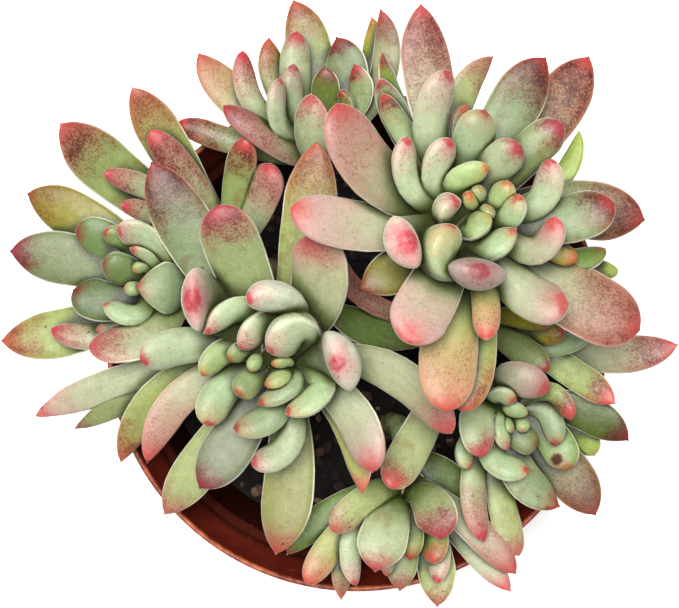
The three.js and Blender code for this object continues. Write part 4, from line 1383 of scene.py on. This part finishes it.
class PotPlastic(Finish):
    """Thin moulded terracotta-coloured plastic with a satin face, dusty at its lip with a painted highlight
    there, and with painted shade on the inner wall below the collar.

    The bands are heights in metres between which a mark fades in. "wall_slope" and "wall_foot"
    give the radius of the inner wall, which steps out by "collar_step" at the collar.
    """

    title = "pot_plastic"
    fresh = linear((100, 27, 12))
    deep = linear((78, 16, 7))
    # Pale dust, also used for scuffs and as a painted highlight on the lip.
    pale_dust_and_highlight = linear((182, 104, 66))
    # Painted shade colour for the pot's inner wall.
    painted_shade_brown = linear((36, 12, 6))
    lip_band = (0.1134, 0.115)
    collar_band = (0.0931, 0.0933)
    # Heights over which the painted shade on the inner wall fades in.
    inner_shade_band = (0.102, 0.094)
    underside_band = (0.0008, 0.0016)
    wall_slope = 0.175
    wall_foot = 0.0516
    collar_step = 0.0033
    inside_band = (0.0003, -0.0003)

    def material(self) -> bpy.types.Material:
        """Lay out the plastic.

        Returns:
            The material.
        """
        x, y, z = self.parts(self.place)
        around = self.maths("ARCTAN2", y, x)
        flow = self.cloud(1.0, 4, 0.55, self.together(around * 6.0, z * 30.0, 0.0))
        colour = self.blend(self.fresh, self.deep, flow)
        colour = colour.coat(self.blend(self.deep, self.fresh, self.cloud(28, 3)), 0.35)
        # Dust on the lip, which also serves as a painted highlight there.
        dust_and_lip_highlight = self.cloud(160, 6, 0.7).ease(0.36, 0.66) * (z.ease(*self.lip_band) * 0.62 + 0.04)
        wall = z.ease(*self.collar_band) * self.collar_step + (z * self.wall_slope + self.wall_foot)
        inside = ((x * x + y * y) ** 0.5 - wall).ease(*self.inside_band)
        # Painted shade: the inner wall darkens from just above the ledge downwards; the same mask roughens
        # and dulls it.
        painted_inner_shade = inside * z.ease(*self.inner_shade_band) * z.ease(*self.underside_band) * 0.85
        scuffs = self.cloud(1.0, 5, 0.7, self.together(around * 22.0, z * 420.0, 0.0)).ease(0.6, 0.72) * 0.3
        colour = colour.coat(self.pale_dust_and_highlight, dust_and_lip_highlight).coat(self.painted_shade_brown, painted_inner_shade).coat(self.pale_dust_and_highlight, scuffs)
        bands = self.cloud(1.0, 2, 0.5, self.together(0.0, 0.0, z * 260.0))
        self.relief(self.cloud(1800, 2) * 0.25 + bands, 0.25, 0.0003)
        rough = painted_inner_shade * 0.4 + (self.cloud(90, 4) * 0.2 + 0.4)
        return self.done(Base_Color=colour, Roughness=rough, IOR=1.36, Specular_IOR_Level=painted_inner_shade * -0.5 + 0.5)


class SoilCrumb(Finish):
    """Dark crumbly soil."""

    title = "soil_crumb"
    dark = linear((15, 11, 9))
    light = linear((50, 36, 28))

    def material(self) -> bpy.types.Material:
        """Lay out the soil."""
        crumbs = self.cloud(420, 8, 0.7)
        self.relief(crumbs, 1.0, 0.0015)
        colour = self.blend(self.dark, self.light, crumbs.ease(0.48, 0.75))
        return self.done(Base_Color=colour, Roughness=0.93)


class GritStone(Finish):
    """Small stones and bark chips in the soil, each with its own tone."""

    title = "grit_stone"
    tones = (
        (32, 22, 18), (52, 36, 28), (84, 60, 48), (36, 26, 22),
        (122, 96, 84), (20, 15, 13), (62, 38, 28), (24, 18, 16),
    )

    def material(self) -> bpy.types.Material:
        """Lay out the stones."""
        grain = self.cloud(900, 6, 0.7)
        self.relief(grain, 0.7, 0.0004)
        colour = self.kept("grit_tone", "Color").coat(self.greys(0.1, 0.9, grain), 0.55, "OVERLAY")
        return self.done(Base_Color=colour, Roughness=0.85)


class FloorPaint(Finish):
    """A faintly uneven off-white."""

    title = "studio_floor"
    darker = (0.94, 0.94, 0.937, 1.0)
    lighter = (0.96, 0.96, 0.957, 1.0)

    def material(self) -> bpy.types.Material:
        """Lay out the floor's paint."""
        return self.done(Base_Color=self.blend(self.darker, self.lighter, self.cloud(3, 2)), Roughness=0.9)


@dataclass(frozen=True)
class NurseryPot:
    """The round plastic pot, sizes in mm.

    The pairs are steps in radius and height by which the outline rounds a corner.
    """

    node: str = "pot"
    rim_radius: float = 75.0
    height: float = 115.0
    wall: float = 1.6
    lip_depth: float = 3.2
    lip_points: int = 9
    collar_depth: float = 21.0
    collar_top_inside: float = 73.4
    collar_foot_inside: float = 70.1
    ledge_inside: float = 67.0
    base_inside: float = 50.8
    base_thickness: float = 2.4
    base_chamfer: float = 1.6
    chamfer_left: float = 0.35
    chamfer_rise: float = 0.25
    heel: Pair = (0.55, 5.0)
    shoulder: Pair = (0.6, 5.0)
    floor_curve: Pair = (1.2, 3.0)
    lip_curve: Pair = (0.7, 0.5)
    rounding: float = 0.5
    ledge_rounding: float = 0.4
    sectors: int = 180
    smooth_angle: float = 32.0
    drain_holes: int = 6
    drain_radius: float = 4.0
    drain_circle: float = 38.0
    hanger_holes: int = 3
    hanger_radius: float = 1.0
    hanger_circle: float = 68.4
    first_hanger_angle: float = -62.6
    hole_sides: int = 32
    drill_length: float = 6.0

    @property
    def ledge(self) -> float:
        """The height of the step inside the collar."""
        return self.height - self.collar_depth

    def profile(self) -> list[Pair]:
        """List the wall's outline as radius and height, from the foot up and down the inside.

        Returns:
            Points in mm.
        """
        step, lip_foot = self.ledge - self.wall, self.height - self.lip_depth
        outer_base, outer_collar = self.base_inside + self.wall, self.collar_foot_inside + self.wall
        outer_ledge = self.ledge_inside + self.wall
        top_middle = (self.collar_top_inside + self.rim_radius) / 2
        top_half = (self.rim_radius - self.collar_top_inside) / 2
        lip = [
            (top_middle + top_half * math.cos(turn), self.height - top_half + top_half * math.sin(turn))
            for turn in np.linspace(0, math.pi, self.lip_points)
        ]
        return [
            (outer_base - self.base_chamfer, 0.0),
            (outer_base - self.base_chamfer * self.chamfer_left, self.chamfer_rise),
            (outer_base, self.base_chamfer),
            (outer_base + self.heel[0], self.heel[1]),
            (outer_ledge - self.shoulder[0], step - self.shoulder[1]),
            (outer_ledge, step),
            (outer_collar - self.rounding, step),
            (outer_collar, step + self.rounding),
            (self.rim_radius - self.lip_curve[0], lip_foot - self.lip_curve[1]),
            (self.rim_radius, lip_foot),
            *lip,
            (self.collar_top_inside - self.rounding, lip_foot),
            (self.collar_foot_inside, self.ledge + self.rounding),
            (self.collar_foot_inside - self.ledge_rounding, self.ledge),
            (self.ledge_inside + self.ledge_rounding, self.ledge),
            (self.ledge_inside, self.ledge - self.ledge_rounding),
            (self.base_inside + self.floor_curve[0], self.base_thickness + self.floor_curve[1]),
            (self.base_inside, self.base_thickness),
        ]

    def turn_wall(self) -> bpy.types.Object:
        """Raise the closed wall and floor from a filled circle, ring by ring.

        Returns:
            The pot before its holes are made, in metres.
        """
        rings = [(radius * MILLIMETRE, z * MILLIMETRE) for radius, z in self.profile()]
        radius, z = rings[0]
        deselect_all()
        bpy.ops.mesh.primitive_circle_add(
            vertices=self.sectors, radius=radius, fill_type="NGON", location=(0, 0, z)
        )
        pot = bpy.context.active_object
        with editing(pot, "FACE"):
            bpy.ops.mesh.select_all(action="SELECT")
            for next_radius, next_z in rings[1:]:
                bpy.ops.mesh.extrude_region_move(TRANSFORM_OT_translate={"value": (0, 0, next_z - z)})
                grow = next_radius / radius
                bpy.ops.transform.resize(value=(grow, grow, 1), center_override=(0, 0, 0))
                radius, z = next_radius, next_z
            bpy.ops.mesh.select_all(action="SELECT")
            bpy.ops.mesh.normals_make_consistent(inside=False)
        return pot

    def drill(self, pot: bpy.types.Object) -> None:
        """Cut the drain holes and the small holes in the step under the collar.

        Args:
            pot: The pot to cut.
        """
        step = self.ledge - self.wall / 2
        rows = (
            (self.drain_holes, self.drain_circle, self.drain_radius, 0.0, self.base_thickness / 2),
            (self.hanger_holes, self.hanger_circle, self.hanger_radius, self.first_hanger_angle, step),
        )
        drills = []
        for count, circle, radius, first, z in rows:
            for index in range(count):
                angle = math.radians(first) + 2 * math.pi * index / count
                bpy.ops.mesh.primitive_cylinder_add(
                    vertices=self.hole_sides,
                    radius=radius * MILLIMETRE,
                    depth=self.drill_length * MILLIMETRE,
                    location=Vector((circle * math.cos(angle), circle * math.sin(angle), z)) * MILLIMETRE,
                )
                drills.append(bpy.context.active_object)
        cutter = join("drills", drills)
        select_only(pot)
        cut = pot.modifiers.new("holes", "BOOLEAN")
        cut.operation = "DIFFERENCE"
        cut.object = cutter
        bpy.ops.object.modifier_apply(modifier=cut.name)
        bpy.data.objects.remove(cutter)

    def build(self, plastic: bpy.types.Material) -> None:
        """Make the pot and tie it to the part.

        Args:
            plastic: The pot's material.
        """
        pot = self.turn_wall()
        self.drill(pot)
        pot.data.materials.clear()
        pot.data.materials.append(plastic)
        pot = join("nursery_pot", [pot])
        bpy.ops.object.shade_smooth_by_angle(angle=math.radians(self.smooth_angle))
        dress(pot, "pot_plastic", self.node)


@dataclass(frozen=True)
class SoilFill:
    """The pot's filling: an uneven top of soil with grit strewn over it, sizes in mm.

    Each of the "swells" is a scale, a level of the noise and a share of the relief. A stone is a
    ball squashed by "stone_form", bumpy by "stone_bumps" (scale and depth), and stretched by
    "stone_stretch" (least and range). It is raised by "stone_rise" of its size.
    """

    node: str = "soil"
    bottom: float = 2.7
    bottom_radius: float = 50.5
    top_radius: float = 62.9
    sectors: int = 120
    ring_step: float = 3.0
    swells: tuple[tuple[float, float, float], ...] = ((0.05, 0.0, 1.0), (0.17, 9.0, 0.5), (0.5, 4.0, 0.35))
    stones: int = 900
    smallest: float = 0.8
    largest: float = 2.3
    wall_gap: float = 0.4
    stone_form: tuple[float, float, float] = (1.0, 0.8, 0.62)
    stone_bumps: Pair = (1.7, 0.35)
    stone_stretch: Pair = (0.75, 0.5)
    stone_rise: float = 0.25

    def height_at(self, x: float, y: float) -> float:
        """Find how far the soil stands over its mean level at a place, all in mm."""
        layers = (share * noise.noise(Vector((x, y, level)) * scale) for scale, level, share in self.swells)
        return SOIL_RELIEF * sum(layers)

    def model_filling(self) -> bpy.types.Object:
        """Shape the filling from a cylinder: tapered, with an uneven top.

        Returns:
            The filling, in metres.
        """
        depth = SOIL_TOP - self.bottom
        deselect_all()
        bpy.ops.mesh.primitive_cylinder_add(
            vertices=self.sectors,
            radius=self.top_radius * MILLIMETRE,
            depth=depth * MILLIMETRE,
            location=(0, 0, (self.bottom + depth / 2) * MILLIMETRE),
        )
        filling = bpy.context.active_object
        bpy.ops.object.transform_apply(location=True)
        middle = (self.bottom + depth / 2) * MILLIMETRE
        with editing(filling, "FACE"):
            bpy.ops.mesh.select_all(action="DESELECT")
        for face in filling.data.polygons:
            face.select = all(filling.data.vertices[index].co.z > middle for index in face.vertices)
        with editing(filling, "FACE"):
            for _ in range(int(self.top_radius / self.ring_step) - 1):
                bpy.ops.mesh.inset(thickness=self.ring_step * MILLIMETRE)
        points = points_of(filling)
        low = points[:, 2] < middle
        points[low, :2] *= self.bottom_radius / self.top_radius
        for index in np.flatnonzero(~low):
            x, y = points[index, :2] / MILLIMETRE
            points[index, 2] += self.height_at(x, y) * MILLIMETRE
        place_points(filling, points)
        return filling

    def model_stone(self) -> bpy.types.Object:
        """Model one angular stone from a squashed ball.

        Returns:
            The stone, one unit in radius.
        """
        deselect_all()
        bpy.ops.mesh.primitive_ico_sphere_add(subdivisions=2, radius=1.0)
        stone = bpy.context.active_object
        with editing(stone):
            bpy.ops.mesh.select_all(action="SELECT")
            bpy.ops.transform.resize(value=self.stone_form)
        scale, depth = self.stone_bumps
        points = points_of(stone)
        bumps = np.array([noise.noise(Vector(point) * scale) for point in points])
        place_points(stone, points * (1 + depth * bumps)[:, None])
        return stone

    def strew(self, stone: bpy.types.Object, draw: np.random.Generator) -> list[bpy.types.Object]:
        """Strew copies of the stone over the top.

        Args:
            stone: The stone to copy.
            draw: The seeded draw.

        Returns:
            The copies, in metres.
        """
        model = points_of(stone)
        least, spread = self.stone_stretch
        strewn = []
        for _ in range(self.stones):
            size = self.smallest + (self.largest - self.smallest) * draw.random() ** 2
            out = (self.top_radius - size - self.wall_gap) * math.sqrt(draw.random())
            angle = 2 * math.pi * draw.random()
            x, y = out * math.cos(angle), out * math.sin(angle)
            tumble = np.linalg.qr(draw.normal(size=(3, 3)))[0]
            tumble *= np.sign(np.linalg.det(tumble))
            stretch = size * (least + spread * draw.random(3))
            points = (model * stretch) @ tumble.T
            points += np.array([x, y, SOIL_TOP + self.height_at(x, y) + self.stone_rise * size])
            twin = copy_of(stone)
            place_points(twin, points * MILLIMETRE)
            tone = GritStone.tones[int(draw.integers(len(GritStone.tones)))]
            note_values(twin, "grit_tone", np.array(linear(tone)))
            strewn.append(twin)
        return strewn

    def build(self, crumb: bpy.types.Material, grit: bpy.types.Material, draw: np.random.Generator) -> None:
        """Make the filling with its stones and tie it to the part.

        Args:
            crumb: The soil's material.
            grit: The stones' material.
            draw: The seeded draw.
        """
        filling = self.model_filling()
        filling.data.materials.append(crumb)
        stone = self.model_stone()
        stone.data.materials.append(grit)
        strewn = self.strew(stone, draw)
        bpy.data.objects.remove(stone)
        dress(join("soil_fill", [filling, *strewn]), "soil", self.node)


@dataclass(frozen=True)
class Studio:
    """A plain pale floor, soft light from all round, a large soft lamp, and the camera above."""

    floor_size: float = 6.0
    sensor: float = 36.0
    view_width: float = 203.2
    nearest: float = 0.01
    sky_colour: Colour = (0.97, 0.985, 1.0, 1.0)
    sky_strength: float = 0.32
    lamp_colour: tuple[float, float, float] = (1.0, 0.985, 0.96)
    lamp_power: float = 54.0
    lamp_size: float = 0.8
    lamp_place: tuple[float, float, float] = (-0.14, 0.26, 1.62)

    def lay_floor(self) -> None:
        """Lay the floor that the pot stands on."""
        deselect_all()
        bpy.ops.mesh.primitive_plane_add(size=self.floor_size)
        floor = bpy.context.active_object
        floor.name = "studio_floor"
        floor.data.materials.append(FloorPaint().material())

    def hang_lamp(self) -> None:
        """Hang the large soft lamp and point it at the plant."""
        data = bpy.data.lights.new("soft_lamp", "AREA")
        data.shape = "DISK"
        data.size = self.lamp_size
        data.energy = self.lamp_power
        data.color = self.lamp_colour
        lamp = bpy.data.objects.new("soft_lamp", data)
        lamp.location = self.lamp_place
        aim = Vector((0, 0, VIEW.rim_height * MILLIMETRE)) - lamp.location
        lamp.rotation_euler = aim.to_track_quat("-Z", "Y").to_euler()
        bpy.context.scene.collection.objects.link(lamp)

    def light_sky(self) -> None:
        """Light the room evenly from all round."""
        world = bpy.data.worlds.new("room_light")
        world.use_nodes = True
        sky = world.node_tree.nodes["Background"]
        sky.inputs["Color"].default_value = self.sky_colour
        sky.inputs["Strength"].default_value = self.sky_strength
        bpy.context.scene.world = world

    def set_camera(self) -> None:
        """Set the camera straight above, at the distance that the view was read with."""
        data = bpy.data.cameras.new("above")
        data.sensor_width = self.sensor
        data.lens = self.sensor * VIEW.distance / self.view_width
        data.clip_start = self.nearest
        camera = bpy.data.objects.new("above", data)
        place = (*VIEW.above, VIEW.rim_height + VIEW.distance)
        camera.location = [value * MILLIMETRE for value in place]
        bpy.context.scene.collection.objects.link(camera)
        bpy.context.scene.camera = camera

    def build(self) -> None:
        """Set up the whole studio."""
        self.lay_floor()
        self.hang_lamp()
        self.light_sky()
        self.set_camera()
        bpy.context.scene.view_settings.view_transform = "Standard"
        LOG.info("studio ready")


def main() -> None:
    """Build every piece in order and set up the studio."""
    logging.basicConfig(level=logging.INFO, format="%(name)s %(message)s")
    draw = np.random.default_rng(SEED)
    noise.seed_set(SEED)
    NurseryPot().build(PotPlastic().material())
    SoilFill().build(SoilCrumb().material(), GritStone().material(), draw)
    skin, bark = LeafSkin().material(), StemBark().material()
    for plan in CLUMP:
        Rosette(plan).build(skin, bark, draw)
    Studio().build()


if __name__ == "__main__":
    main()
